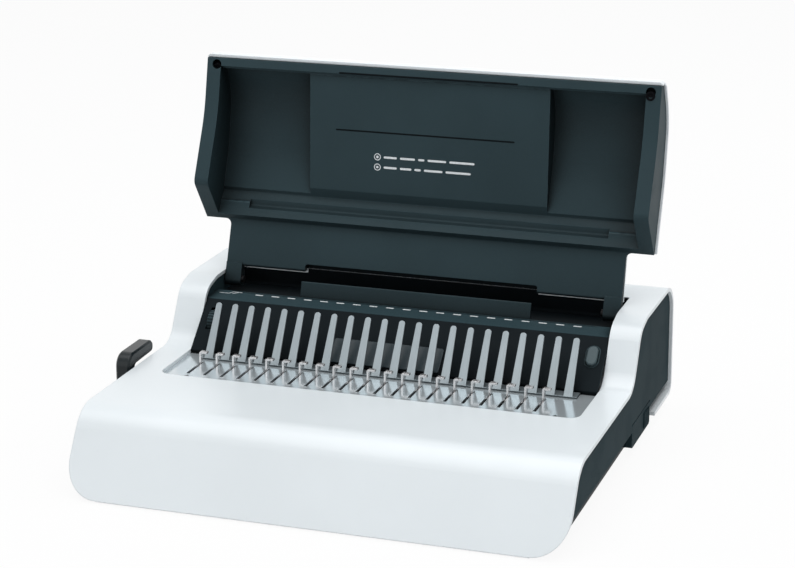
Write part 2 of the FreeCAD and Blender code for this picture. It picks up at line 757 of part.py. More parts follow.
def gear_outline(teeth, module):
    """Outline of a whole gear."""
    angles = [2 * math.pi * i / teeth for i in range(teeth)]
    return rounded(gear_teeth(module, teeth * module / 2, angles))


def lever_shaft():
    """Cross shaft with the two toothed sectors that drive the racks."""
    left = LEVER_X + 1.0
    right = RACK_X + RACK_WIDTH / 2 + 22.0
    radius = size("lever_shaft_radius")
    shaft = Part.makeCylinder(radius, right - left, Vector(left, LEVER_Y, LEVER_Z), Vector(1, 0, 0))
    whole = [shaft]
    pitch = 2 * math.pi / SECTOR_TEETH
    swing = math.radians(size("opener_angle"))
    first = -int(math.ceil((swing + math.radians(14)) / pitch))
    last = int(math.ceil(math.radians(14) / pitch))
    angles = [math.pi / 2 + (i + 0.5) * pitch for i in range(first, last + 1)]
    teeth = gear_teeth(RACK_MODULE, PITCH_RADIUS, angles)
    for x in (-RACK_X, RACK_X):
        corners = [Vector(x, LEVER_Y + y, LEVER_Z + z) for y, z, r in teeth]
        hub = Vector(x, LEVER_Y, LEVER_Z)
        ring = Part.makePolygon([hub] + corners + [hub])
        sector = Part.Face(ring).extrude(Vector(RACK_WIDTH - 2, 0, 0))
        sector.translate(Vector(1 - RACK_WIDTH / 2, 0, 0))
        boss = Part.makeCylinder(radius + 4.0, RACK_WIDTH + 2, hub - Vector(RACK_WIDTH / 2 + 1, 0, 0),
                                 Vector(1, 0, 0))
        whole += [sector, boss]
    set_of("lever_shaft", [whole[0].fuse(whole[1:]).removeSplitter()])


def shaft_brackets():
    """Two posts on the base tray that carry the cross shaft."""
    radius = size("lever_shaft_radius")
    outline = rounded([
        (LEVER_Y - 14.0, FLOOR_Z, 0), (LEVER_Y + 14.0, FLOOR_Z, 0),
        (LEVER_Y + 9.0, LEVER_Z + 9.0, 7.0), (LEVER_Y - 9.0, LEVER_Z + 9.0, 7.0),
    ])
    hole = circle(LEVER_Y, LEVER_Z, radius + size("running_gap"))
    plates("shaft_brackets", outline, [hole], (-RACK_X - 22.0, RACK_X + 14.0), 8.0)


def comb_lever():
    """Black cranked handle outside the left panel."""
    body = new_body("comb_lever")
    bar = size("lever_bar")
    top = LEVER_Z + size("lever_reach")
    front = LEVER_Y - bar / 2
    back = LEVER_Y + size("grip_length")
    eye = bar / 2 + 3.0
    outline = rounded([
        (LEVER_Y - eye, LEVER_Z - eye, eye - 0.2),
        (LEVER_Y + eye, LEVER_Z - eye, eye - 0.2),
        (LEVER_Y + eye, LEVER_Z + 5.0, 4.0),
        (LEVER_Y + bar / 2, LEVER_Z + 13.0, 6.0),
        (LEVER_Y + bar / 2, top - bar, 4.0),
        (back, top - bar + 1.0, bar / 2 - 1.0),
        (back, top, bar / 2 - 1.0),
        (front, top, bar),
        (front, LEVER_Z + 13.0, 6.0),
        (LEVER_Y - eye, LEVER_Z + 5.0, 4.0),
    ])
    hole = circle(LEVER_Y, LEVER_Z, size("lever_shaft_radius"))
    drawing = sketch(body, "YZ_Plane", outline, place=lift(LEVER_X))
    pad(body, drawing, "sizes.lever_thickness")
    pocket(body, sketch(body, "YZ_Plane", hole, place=lift(LEVER_X + 1.0)), 40.0, back=True)
    rim = edges_where(body, lambda edge, mid: abs(mid.x - LEVER_X) < 0.01
                      or abs(mid.x - LEVER_X - size("lever_thickness")) < 0.01
                      and abs(mid.y - LEVER_Y) + abs(mid.z - LEVER_Z) > 7.5)
    chamfer(body, rim, 1.4)


# ---------------------------------------------------------------- edge guide and button

def edge_wheel():
    """Ribbed thumbwheel on its lead screw, turned to shift the edge guide."""
    radius = size("wheel_radius")
    width = size("wheel_width")
    ribs = 24
    points = []
    for i in range(ribs):
        for step, r in ((0.0, radius), (0.5, radius), (0.62, radius - 0.6), (0.88, radius - 0.6)):
            angle = 2 * math.pi * (i + step) / ribs
            points.append(Vector(WHEEL_X - width / 2, WHEEL_Y + r * math.cos(angle),
                                 WHEEL_Z + r * math.sin(angle)))
    rim = Part.Face(Part.makePolygon(points + points[:1])).extrude(Vector(width, 0, 0))
    start = Vector(WHEEL_X - width / 2 - 3.0, WHEEL_Y, WHEEL_Z)
    screw = Part.makeCylinder(SCREW_RADIUS, 44.0, start, Vector(1, 0, 0))
    set_of("edge_wheel", [rim.fuse(screw).removeSplitter()])


def shelf_under(y):
    """Height of the shelf's underside at y."""
    rise = 2.0 * (y - SHELF_Y) / (THROAT_FRONT - SHELF_Y)
    return SHELF_Z + rise - size("wall_thickness") - 0.02


def wheel_bracket():
    """Bracket under the shelf with two bearings for the lead screw."""
    ear = 4.6
    outline = rounded([
        (WHEEL_Y - ear, WHEEL_Z - ear, 3.4), (WHEEL_Y + ear, WHEEL_Z - ear, 3.4),
        (WHEEL_Y + 22.0, shelf_under(WHEEL_Y + 22.0) - 8.0, 0),
        (WHEEL_Y + 22.0, shelf_under(WHEEL_Y + 22.0), 0),
        (WHEEL_Y + 14.0, shelf_under(WHEEL_Y + 14.0), 0),
        (WHEEL_Y - ear, WHEEL_Z + 0.6, 0),
    ])
    hole = circle(WHEEL_Y, WHEEL_Z, SCREW_RADIUS + size("running_gap"))
    plates("wheel_bracket", outline, [hole], (WHEEL_X + 5.5, WHEEL_X + 35.0), 2.5)


def edge_guide():
    """Nut on the lead screw with a finger that stops the sheet edge in the throat."""
    body = new_body("edge_guide")
    start = WHEEL_X + 17.0
    outline = rounded([
        (WHEEL_Y - 4.6, WHEEL_Z - 4.6, 0), (WHEEL_Y + 4.6, WHEEL_Z - 4.6, 0),
        (WHEEL_Y + 12.0, DIE_TOP + 0.6, 0), (THROAT_BACK - 1.2, DIE_TOP + 0.6, 0),
        (THROAT_BACK - 1.2, SHELF_Z - 6.2, 0), (WHEEL_Y + 10.0, SHELF_Z - 6.2, 0),
        (WHEEL_Y - 4.6, WHEEL_Z + 0.6, 0),
    ])
    hole = circle(WHEEL_Y, WHEEL_Z, SCREW_RADIUS + size("running_gap"))
    pad(body, sketch(body, "YZ_Plane", outline, hole, place=lift(start)), 5.0)


def punch_button():
    """Oblong button in the back wall with the stem that works the switch."""
    body = new_body("punch_button")
    cap = slot_outline(CONTROL_X, 0, size("button_width"), size("button_length"))
    pad(body, sketch(body, "XY_Plane", cap, place=on_wall(CONTROL_UP, -3.2)), 6.2)
    stem = circle(CONTROL_X, 0, 1.6)
    pad(body, sketch(body, "XY_Plane", stem, place=on_wall(CONTROL_UP, -9.8)), 7.0)
    crown = edges_where(body, lambda edge, mid: abs(wall_height(mid) - 3.0) < 0.01)
    chamfer(body, crown, 0.8)


def wall_height(point):
    """Distance of a point out of the back wall's face."""
    return on_wall(0).inverse().multVec(point).z


def button_switch():
    """Small switch under the button, with the ledge that carries it."""
    body = new_body("button_switch")
    block = rectangle(CONTROL_X - 5.0, -7.0, CONTROL_X + 5.0, 7.0, 1.0)
    pad(body, sketch(body, "XY_Plane", block, place=on_wall(CONTROL_UP, -19.0)), 7.0)
    posts = []
    for up_wall in (-11.4, 11.4):
        posts += rectangle(CONTROL_X - 3.0, up_wall - 1.4, CONTROL_X + 3.0, up_wall + 1.4)
    arms = rectangle(CONTROL_X - 3.0, -12.8, CONTROL_X + 3.0, 12.8)
    pad(body, sketch(body, "XY_Plane", arms, place=on_wall(CONTROL_UP, -15.0)), 1.5)
    top = 15.0 - size("wall_thickness")
    pad(body, sketch(body, "XY_Plane", posts, place=on_wall(CONTROL_UP, -15.0)), top)


# ---------------------------------------------------------------- punch

def punch_row(y0, y1, width, height):
    """One flat tool per hole, from y0 to y1."""
    tools = []
    for i in range(HOLES):
        x = -PITCH * (HOLES - 1) / 2 + i * PITCH
        corner = Vector(x - width / 2, y0, PUNCH_Z - height / 2)
        tools.append(Part.makeBox(width, y1 - y0, height, corner))
    return tools


def punched_block(label, y0, y1, low, high):
    """A bar between the side frames with a slot for each punch pin."""
    body = new_body(label)
    ends = FRAME_X - 0.1
    outline = rectangle(-ends, low, ends, high)
    pad(body, sketch(body, "XZ_Plane", outline, place=lift(-y1)), y1 - y0)
    x = -PITCH * (HOLES - 1) / 2
    gap = 0.1
    hole = rectangle(x - PIN_WIDTH / 2 - gap, PUNCH_Z - PIN_HEIGHT / 2 - gap,
                     x + PIN_WIDTH / 2 + gap, PUNCH_Z + PIN_HEIGHT / 2 + gap)
    first = pocket(body, sketch(body, "XZ_Plane", hole, place=lift(-y1 - 1)), y1 - y0 + 2, back=True)
    repeat(body, [first], "X_Axis", PITCH * (HOLES - 1), HOLES)


def die_block():
    punched_block("die_block", THROAT_FRONT - 7.0, THROAT_FRONT, PUNCH_Z - 12, DIE_TOP)


def pin_guide():
    punched_block("pin_guide", THROAT_BACK, THROAT_BACK + 10.0, PUNCH_Z - 12, PUNCH_Z + 12.0)


def punch_pins():
    """Row of flat punches and the bar that drives them, with two cam yokes."""
    rest = CAM_Y + CAM_THROW
    reach = -FIRST_TINE + 6.0
    bar = Part.makeBox(2 * reach, 8.0, 15.0, Vector(-reach, BAR_Y, PUNCH_Z - 7.5))
    pins = punch_row(THROAT_BACK + 0.6, BAR_Y, PIN_WIDTH, PIN_HEIGHT)
    pieces = list(pins)
    depth = CAM_RADIUS + 1.4
    height = CAM_RADIUS + CAM_THROW + 0.6
    for x in (-YOKE_X, YOKE_X):
        block = Part.makeBox(6.0, rest + depth + 3.5 - BAR_Y - 8.0, 2 * height + 6.0,
                             Vector(x - 3.0, BAR_Y + 8.0, PUNCH_Z - height - 3.0))
        window = Part.makeBox(8.0, 2 * depth, 2 * height,
                              Vector(x - 4.0, rest - depth, PUNCH_Z - height))
        slope = Part.makeBox(8.0, 40, 40, Vector(x - 4, BAR_Y + 8.0, PUNCH_Z + 7.5))
        slope.rotate(Vector(x, BAR_Y + 8.0, PUNCH_Z + 7.5), Vector(1, 0, 0), 40)
        pieces.append(block.cut([window, slope]))
    set_of("punch_bar", [bar.fuse(pieces).removeSplitter()])


def cam_shaft():
    """Drive shaft with two round eccentrics at rest towards the back."""
    shaft = Part.makeCylinder(SHAFT_RADIUS, GEAR_X + 6.0 + FRAME_X + 4.0,
                              Vector(-FRAME_X - 4.0, CAM_Y, PUNCH_Z), Vector(1, 0, 0))
    cams = []
    for x in (-YOKE_X, YOKE_X):
        centre = Vector(x - 3.5, CAM_Y + CAM_THROW, PUNCH_Z)
        cams.append(Part.makeCylinder(CAM_RADIUS, 7.0, centre, Vector(1, 0, 0)))
    set_of("cam_shaft", [shaft.fuse(cams).removeSplitter()])


def side_frame(label, side):
    """Steel side frame of the punch, standing beside the drawer."""
    body = new_body(label)
    floor = size("back_gap") + WALL
    top = PUNCH_Z + 12.0
    outline = rounded([
        (WALL_FOOT + 15.0, FLOOR_Z, 0), (WALL_FOOT + 24.0, FLOOR_Z, 0),
        (WALL_FOOT + 24.0, DRAWER_Z + size("drawer_height") + 2.5, 3.0),
        (DRAWER_BACK + 6.5, DRAWER_Z + size("drawer_height") + 2.5, 3.0),
        (DRAWER_BACK + 11.0, floor, 0), (BACK - 20.0, floor, 0),
        (BACK - 16.0, 60.0, 12.0), (BACK - 28.0, top, 10.0),
        (THROAT_FRONT - 9.0, top, 3.0), (THROAT_FRONT - 9.0, PUNCH_Z - 14.0, 6.0),
        (WALL_FOOT + 15.0, 42.0, 6.0),
    ])
    bush = circle(CAM_Y, PUNCH_Z, BUSH_RADIUS)
    window = rectangle(BACK - 62.0, 28.0, BACK - 52.0, 50.0, 4.0)
    drawing = [outline, bush, window]
    if side > 0:
        drawing.append(circle(MOTOR_Y, MOTOR_Z, 8.0))
    start = side * FRAME_X
    pad(body, sketch(body, "YZ_Plane", *drawing, place=lift(start)), 2.0, back=side < 0)


def cam_bushes():
    """Flanged bushes in the side frames for the cam shaft."""
    bushes = []
    for side in (-1, 1):
        middle = side * (FRAME_X + 1.0)
        sleeve = Part.makeCylinder(BUSH_RADIUS, 6.0, Vector(middle - 3.0, CAM_Y, PUNCH_Z), Vector(1, 0, 0))
        inner = middle - side * 3.0 - 0.75
        flange = Part.makeCylinder(BUSH_RADIUS + 2.5, 1.5, Vector(inner, CAM_Y, PUNCH_Z), Vector(1, 0, 0))
        bore = Part.makeCylinder(SHAFT_RADIUS + size("running_gap"), 20.0,
                                 Vector(middle - 10.0, CAM_Y, PUNCH_Z), Vector(1, 0, 0))
        bushes.append(sleeve.fuse(flange).cut(bore).removeSplitter())
    set_of("cam_bushes", bushes)


def drive_gear():
    """Large gear on the cam shaft inside the right arm."""
    body = new_body("drive_gear")
    outline = gear_outline(GEAR_TEETH, GEAR_MODULE)
    bore = circle(0, 0, SHAFT_RADIUS)
    place = Placement(Vector(CAM_Y, PUNCH_Z, GEAR_X), Rotation(Vector(0, 0, 1), 0))
    pad(body, sketch(body, "YZ_Plane", outline, bore, place=place), 5.0)


def motor_pinion():
    """Small gear on the motor shaft, in mesh with the drive gear."""
    body = new_body("motor_pinion")
    mesh = math.atan2(PUNCH_Z - MOTOR_Z, CAM_Y - MOTOR_Y)
    turn = mesh_phase(mesh)
    place = Placement(Vector(MOTOR_Y, MOTOR_Z, GEAR_X), Rotation(Vector(0, 0, 1), turn))
    pad(body, sketch(body, "YZ_Plane", gear_outline(PINION_TEETH, GEAR_MODULE), place=place), 5.0)
    shaft = circle(MOTOR_Y, MOTOR_Z, 2.5)
    pad(body, sketch(body, "YZ_Plane", shaft, place=lift(MOTOR_X - 5.0)), GEAR_X - MOTOR_X + 5.0)


def mesh_phase(towards):
    """Turn of the pinion, in degrees, that puts a gap opposite the gear's tooth."""
    contact = towards + math.pi
    gear_pitch = 2 * math.pi / GEAR_TEETH
    pinion_pitch = 2 * math.pi / PINION_TEETH
    off_tooth = (contact % gear_pitch) / gear_pitch
    return math.degrees(towards + pinion_pitch * (0.5 + off_tooth))


def gear_motor():
    """Motor with its flange, and the slot-edged foot that it stands on."""
    body = new_body("gear_motor")
    can = circle(MOTOR_Y, MOTOR_Z, 18.0)
    pad(body, sketch(body, "YZ_Plane", can, place=lift(MOTOR_X - 58.0)), 52.0)
    neck = circle(MOTOR_Y, MOTOR_Z, 10.0)
    pad(body, sketch(body, "YZ_Plane", neck, place=lift(MOTOR_X - 7.0)), 7.0)
    bore = circle(MOTOR_Y, MOTOR_Z, 2.5 + size("running_gap"))
    pocket(body, sketch(body, "YZ_Plane", bore, place=lift(MOTOR_X + 1.0)), 7.0)
    floor = size("back_gap") + WALL
    foot = rounded([
        (MOTOR_Y - 16.0, floor, 0), (MOTOR_Y + 16.0, floor, 0),
        (MOTOR_Y + 10.0, MOTOR_Z - 12.0, 0), (MOTOR_Y - 10.0, MOTOR_Z - 12.0, 0),
    ])
    pad(body, sketch(body, "YZ_Plane", foot, place=lift(MOTOR_X - 50.0)), 34.0)


def power_supply():
    """Transformer: laminated core with its winding."""
    floor = size("back_gap") + WALL
    left = -FRAME_X + 9.5
    core = plain("Box", "transformer_core", Placement(Vector(left, BACK - 62, floor), Rotation()),
                 Length=44.0, Width=38.0, Height=36.0)
    place = Placement(Vector(left + 6, BACK - 68, floor + 6), Rotation())
    winding = plain("Box", "transformer_winding", place, Length=32.0, Width=50.0, Height=24.0)
    joined("transformer", [core, winding])


def circuit_board():
    """Control board on four posts with its larger components."""
    body = new_body("circuit_board")
    floor = size("back_gap") + WALL
    board = rectangle(-92.0, BACK - 62.0, -10.0, BACK - 14.0, 2.0)
    pad(body, sketch(body, "XY_Plane", board, place=lift(floor + 7.0)), 1.6)
    posts = []
    for x, y in ((-86, BACK - 56), (-16, BACK - 56), (-86, BACK - 20), (-16, BACK - 20)):
        posts += rectangle(x - 2.5, y - 2.5, x + 2.5, y + 2.5)
    pad(body, sketch(body, "XY_Plane", posts, place=lift(floor)), 7.5)
    chips = rectangle(-80, BACK - 48, -60, BACK - 30) + circle(-45, BACK - 38, 6.0)
    pad(body, sketch(body, "XY_Plane", chips, place=lift(floor + 8.0)), 10.0)


def power_inlet():
    """Three-pin appliance inlet set into the back wall."""
    body = new_body("power_inlet")
    outer = rectangle(INLET_X - 14.0, INLET_Z - 10.0, INLET_X + 14.0, INLET_Z + 10.0, 2.0)
    pad(body, sketch(body, "XZ_Plane", outer, place=lift(-BACK - 1.2)), 13.0, back=False)
    hollow = rounded([
        (INLET_X - 11.5, INLET_Z - 7.5, 1.0), (INLET_X + 11.5, INLET_Z - 7.5, 1.0),
        (INLET_X + 11.5, INLET_Z + 3.5, 0.5), (INLET_X + 7.0, INLET_Z + 7.5, 0.5),
        (INLET_X - 7.0, INLET_Z + 7.5, 0.5), (INLET_X - 11.5, INLET_Z + 3.5, 0.5),
    ])
    pocket(body, sketch(body, "XZ_Plane", hollow, place=lift(-BACK - 1.3)), 10.5, back=True)
    blades = []
    for x, z in ((-6.5, -1.5), (0.0, 2.0), (6.5, -1.5)):
        blades += rectangle(INLET_X + x - 1.0, INLET_Z + z - 2.0, INLET_X + x + 1.0, INLET_Z + z + 2.0)
    pad(body, sketch(body, "XZ_Plane", blades, place=lift(-BACK + 10.0)), 7.0, back=True)


def switch_frame():
    """Frame of the mains switch in the back wall."""
    body = new_body("switch_frame")
    outer = rectangle(SWITCH_X - 10.5, INLET_Z - 8.0, SWITCH_X + 10.5, INLET_Z + 8.0, 1.0)
    hole = rectangle(SWITCH_X - 8.2, INLET_Z - 6.3, SWITCH_X + 8.2, INLET_Z + 6.3)
    pad(body, sketch(body, "XZ_Plane", outer, hole, place=lift(-BACK - 1.0)), 12.0, back=False)
    seat = circle(BACK - 4.0, INLET_Z, PIVOT_RADIUS + size("running_gap"))
    pocket(body, sketch(body, "YZ_Plane", seat, place=lift(SWITCH_X - 9.8)), 19.6, back=True)


def switch_rocker():
    """Rocker of the mains switch, tilted to off."""
    body = new_body("switch_rocker")
    line = rounded([
        (BACK - 7.0, INLET_Z - 3.0, 0), (BACK - 7.0, INLET_Z + 3.0, 0),
        (BACK + 2.4, INLET_Z + 4.6, 0.8), (BACK + 0.4, INLET_Z, 6.0), (BACK + 0.6, INLET_Z - 4.6, 0.8),
    ])
    pad(body, sketch(body, "YZ_Plane", line, place=lift(SWITCH_X)), 15.6, both_ways=True)
    pivot = circle(BACK - 4.0, INLET_Z, PIVOT_RADIUS)
    pad(body, sketch(body, "YZ_Plane", pivot, place=lift(SWITCH_X)), 19.0, both_ways=True)


# ---------------------------------------------------------------- chip drawer and screws

def chip_drawer():
    """Open drawer under the die, pulled out to the right by its ribbed end."""
    body = new_body("chip_drawer")
    top = DRAWER_Z + size("drawer_height")
    left = -ARM_INSIDE + 14.0
    right = PANEL_X - 4.0
    tray = rectangle(left, DRAWER_FRONT, right, DRAWER_BACK, 3.0)
    pad(body, sketch(body, "XY_Plane", tray, place=lift(DRAWER_Z)), "sizes.drawer_height")
    inside = rectangle(left + 1.8, DRAWER_FRONT + 1.8, right - 1.8, DRAWER_BACK - 1.8, 1.5)
    pocket(body, sketch(body, "XY_Plane", inside, place=lift(top)), size("drawer_height") - 1.8)
    front = rounded([
        (DRAWER_FRONT - 0.6, FLOOR_Z + 0.3, 2.0), (DRAWER_BACK + 0.6, FLOOR_Z + 0.3, 2.0),
        (DRAWER_BACK + 0.6, top + 3.8, 2.0), (DRAWER_FRONT - 0.6, top + 3.8, 2.0),
    ])
    pad(body, sketch(body, "YZ_Plane", front, place=lift(right - 1.0)), 5.0)
    rib = rectangle(DRAWER_BACK - 6.0, DRAWER_Z + 3.0, DRAWER_BACK - 4.6, top + 1.0)
    first = pad(body, sketch(body, "YZ_Plane", rib, place=lift(right + 3.0)), 2.2)
    pattern = body.newObject("PartDesign::LinearPattern", "drawer_ribs")
    pattern.Originals = [first]
    pattern.Direction = ([f for f in body.Origin.OriginFeatures if f.Role == "Y_Axis"][0], [""])
    pattern.Reversed = True
    pattern.Length = 16.0
    pattern.Occurrences = 6
    fail_if_bad(pattern)
    body.Tip = pattern


def base_screws():
    """Cross-head screws that hold the base tray, seen from below."""
    screws = []
    low = size("base_height") - 0.2
    for x, y in screw_places():
        head = Part.makeCylinder(3.2, 1.9, Vector(x, y, low + 0.1))
        slot_a = Part.makeBox(4.0, 0.8, 0.9, Vector(x - 2.0, y - 0.4, low))
        slot_b = Part.makeBox(0.8, 4.0, 0.9, Vector(x - 0.4, y - 2.0, low))
        screws.append(head.cut([slot_a, slot_b]))
    set_of("base_screws", screws)


# ---------------------------------------------------------------- lid

# The lid stands open; all its outlines are seen from the side as (y, z).
LID_FRONT = HINGE_Y + 25.5
LID_TOP = HINGE_Z + size("lid_rise")
STEP = HINGE_Z + size("lid_step")
COVER = size("cover_wall")


def lid_arc():
    """The lid's curved back as seen from the side, from the hinge up to the lip."""
    return [
        (HINGE_Y + 9.5, HINGE_Z + 8.0, 0),
        (HINGE_Y + 19.0, STEP, 60.0),
        (HINGE_Y + 41.0, STEP + 56.0, 90.0),
        (HINGE_Y + 50.5, STEP + 104.0, 46.0),
        (LID_FRONT + 7.0, LID_TOP, 4.0),
        (LID_FRONT - 0.5, LID_TOP - 0.6, 0),
    ]


def lid_room(inside, window):
    """Face in front of the lid's back, a distance inside it, within a window outline."""
    arc = wire_of(rounded(lid_arc(), closed=False))
    first = arc.OrderedVertexes[0].Point
    last = arc.OrderedVertexes[-1].Point
    far_top = Vector(FRONT, last.y, 0)
    far_low = Vector(FRONT, first.y, 0)
    ring = Part.Wire(arc.OrderedEdges + [
        Part.makeLine(last, far_top), Part.makeLine(far_top, far_low), Part.makeLine(far_low, first),
    ])
    room = Part.Face(ring).makeOffset2D(-inside, 0)
    common = room.common(Part.Face(wire_of(window)))
    return geometry_of(common.Faces[0].OuterWire)


def lid_outer_cover():
    """White arched cover of the lid, narrower where it passes between the arms."""
    body = new_body("lid_outer_cover")
    outline = strip(lid_arc(), COVER, -1)
    wide = HALF - size("lid_inset")
    neck = ARM_INSIDE - size("neck_gap")
    pad(body, sketch(body, "YZ_Plane", outline), 2 * wide, both_ways=True)
    notches = []
    for side in (-1, 1):
        notches += rounded([
            (side * neck, 60.0, 0), (side * (wide + 5.0), 60.0, 0),
            (side * (wide + 5.0), STEP, 0), (side * neck, STEP, 5.0),
        ])
    support = size("support_width") / 2 + 1.5
    notches += rectangle(-support, 60.0, support, HINGE_Z + 13.0, 2.0)
    pocket(body, sketch(body, "XZ_Plane", notches), 3 * size("body_depth"), both_ways=True)
    corners = []
    for side in (-1, 1):
        corners += corner_waste(side * wide, LID_TOP, side, 1, size("lid_corner"))
    pocket(body, sketch(body, "XZ_Plane", corners), 3 * size("body_depth"), both_ways=True)


def lid_liner():
    """Dark inner shell of the lid: end walls, two pockets, centre panel, tine groove, hinge lugs."""
    body = new_body("lid_liner")
    wide = HALF - size("lid_inset") - 1.6
    neck = ARM_INSIDE - size("neck_gap")
    skin = COVER + 0.15
    side_view = rounded([
        (BACK, HINGE_Z + 10.5, 0),
        (BACK, LID_TOP, 0),
        (LID_FRONT - 1.5, LID_TOP, 0),
        (HINGE_Y + 13.5, STEP + 90.0, 120.0),
        (HINGE_Y - 12.5, STEP + 36.0, 7.0),
        (HINGE_Y + 13.8, STEP, 2.0),
        (HINGE_Y + 0.6, HINGE_Z + 10.5, 2.0),
    ])
    outline = lid_room(skin, side_view)
    pad(body, sketch(body, "YZ_Plane", outline), 2 * wide, both_ways=True)
    # room between the end walls, down to the face of the centre panel and the neck
    inner = wide - size("end_wall")
    room = rounded([
        (LID_FRONT + 0.5, LID_TOP - skin - 7.0, 2.0),
        (HINGE_Y + 25.0, LID_TOP - skin - 9.0, 0),
        (HINGE_Y + 21.5, STEP + 30.0, 2.0),
        (HINGE_Y + 24.5, STEP + 22.0, 1.0),
        (HINGE_Y + 16.6, STEP + 14.0, 3.0),
        (HINGE_Y + 13.5, STEP, 20.0),
        (HINGE_Y - 40.0, STEP, 0),
        (HINGE_Y - 40.0, LID_TOP - skin - 7.0, 0),
    ])
    pocket(body, sketch(body, "YZ_Plane", room), 2 * inner, both_ways=True)
    # deep pockets either side of the centre panel
    panel = size("centre_panel") / 2
    window = rounded([
        (HINGE_Y - 20.0, LID_TOP - skin - 9.0, 0),
        (BACK, LID_TOP - skin - 9.0, 0),
        (BACK, STEP + 20.0, 0),
        (HINGE_Y - 20.0, STEP + 20.0, 0),
    ])
    hollow = lid_room(skin + 2.4, window)
    for side in (-1, 1):
        middle = side * (inner + panel) / 2
        drawing = sketch(body, "YZ_Plane", hollow, place=lift(middle))
        pocket(body, drawing, inner - panel, both_ways=True)
    # cells behind the centre panel, closed by the cover
    cell = rounded([
        (HINGE_Y + 28.5, LID_TOP - skin - 13.0, 2.0), (BACK, LID_TOP - skin - 13.0, 0),
        (BACK, STEP + 26.0, 0), (HINGE_Y + 24.5, STEP + 26.0, 2.0),
    ])
    cells = 3
    cell_width = (2 * panel - 2.4 * (cells + 1)) / cells
    for i in range(cells):
        middle = (i - (cells - 1) / 2) * (cell_width + 2.4)
        drawing = sketch(body, "YZ_Plane", cell, place=lift(middle))
        pocket(body, drawing, cell_width, both_ways=True)
    # groove that clears the tine tips when the lid is shut
    groove = rounded([
        (HINGE_Y - 10.0, STEP + 11.0, 0), (HINGE_Y + 19.5, STEP + 20.0, 2.0),
        (HINGE_Y + 19.5, STEP + 11.5, 2.0), (HINGE_Y - 10.0, STEP + 2.5, 0),
    ])
    groove_half = -FIRST_TINE + 4.5
    pocket(body, sketch(body, "YZ_Plane", groove), 2 * groove_half, both_ways=True)
    # upper corners, neck between the arms, and the notch over the paper support
    notches = []
    for side in (-1, 1):
        notches += corner_waste(side * wide, LID_TOP, side, 1, size("lid_corner") - 1.6)
        notches += rounded([
            (side * neck, 60.0, 0), (side * (wide + 5.0), 60.0, 0),
            (side * (wide + 5.0), STEP, 0), (side * neck, STEP, 5.0),
        ])
    pocket(body, sketch(body, "XZ_Plane", notches), 3 * size("body_depth"), both_ways=True)
    support = size("support_width") / 2 + 1.5
    notch = rectangle(-support, 60.0, support, HINGE_Z + 17.0, 2.0)
    pocket(body, sketch(body, "XZ_Plane", notch), 3 * size("body_depth"), both_ways=True)
    # lugs that turn on the hinge pins
    lug = rounded([
        (HINGE_Y - 6.2, HINGE_Z - 6.0, 4.6), (HINGE_Y + 6.2, HINGE_Z - 6.0, 4.6),
        (HINGE_Y + 6.3, HINGE_Z + 8.0, 0), (HINGE_Y + 8.0, HINGE_Z + 14.0, 0),
        (HINGE_Y + 1.0, HINGE_Z + 14.0, 0),
    ])
    bore = circle(HINGE_Y, HINGE_Z, size("pin_radius") + size("running_gap"))
    for side in (-1, 1):
        drawing = sketch(body, "YZ_Plane", lug, place=lift(side * neck))
        pad(body, drawing, 14.0, back=side > 0)
        drawing = sketch(body, "YZ_Plane", bore, place=lift(side * (neck + 1)))
        pocket(body, drawing, 16.0, back=side < 0)
    # blind bumper holes in the upper corners
    holes = circle(-wide + 8.5, LID_TOP - 8.5, size("bumper_radius"))
    holes += circle(wide - 8.5, LID_TOP - 8.5, size("bumper_radius"))
    cut = sketch(body, "XZ_Plane", holes, place=lift(-HINGE_Y - 10.0))
    pocket(body, cut, 21.0, back=False)


def lid_pins():
    """Hinge pins pressed into the arm linings."""
    neck = ARM_INSIDE - size("neck_gap")
    pins = []
    for side in (-1, 1):
        inner = side * (neck - 16.0)
        outer = side * (ARM_INSIDE + SEAM + 2.2)
        low = min(inner, outer)
        pins.append(Part.makeCylinder(size("pin_radius"), abs(outer - inner),
                                      Vector(low, HINGE_Y, HINGE_Z), Vector(1, 0, 0)))
    set_of("lid_pins", pins)


def build():
    top_housing()
    side_panel_left()
    side_panel_right()
    base_tray()
    rubber_feet()
    base_screws()
    arm_lining("arm_lining_left", -1)
    arm_lining("arm_lining_right", 1)
    punch_housing()
    wall_insert()
    hinge_trough()
    paper_support()
    comb_deck()
    tine_plate()
    hook_carriage()
    carriage_rails()
    lever_shaft()
    shaft_brackets()
    comb_lever()
    edge_wheel()
    wheel_bracket()
    edge_guide()
    punch_button()
    button_switch()
    die_block()
    pin_guide()
    punch_pins()
    cam_shaft()
    side_frame("side_frame_left", -1)
    side_frame("side_frame_right", 1)
    cam_bushes()
    drive_gear()
    motor_pinion()
    gear_motor()
    power_supply()
    circuit_board()
    power_inlet()
    switch_frame()
    switch_rocker()
    chip_drawer()
    lid_outer_cover()
    lid_liner()
    lid_pins()


def write_parts():
    """Check every object, then write each sub-part under its own name."""
    for part in PARTS:
        part.Placement = Placement(Vector(SHIFT, 0, 0), Rotation()).multiply(part.Placement)
    DOC.recompute()
    for thing in DOC.Objects:
        if "Invalid" in thing.State or "Error" in thing.State:
            raise RuntimeError("%s is invalid" % thing.Label)
    for part in PARTS:
        if part.Shape.isNull() or not part.Shape.isValid():
            raise RuntimeError("%s has no valid shape" % part.Label)
    os.makedirs("parts", exist_ok=True)
    for part in PARTS:
        part.Shape.exportStep("parts/%s.step" % part.Label)


build()
write_parts()
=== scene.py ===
"""Comb binding machine: finishes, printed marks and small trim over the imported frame."""
import json
import math

import bmesh
import bpy
from bpy.props import FloatProperty, FloatVectorProperty, PointerProperty
from mathutils import Matrix, Vector
from mathutils.bvhtree import BVHTree


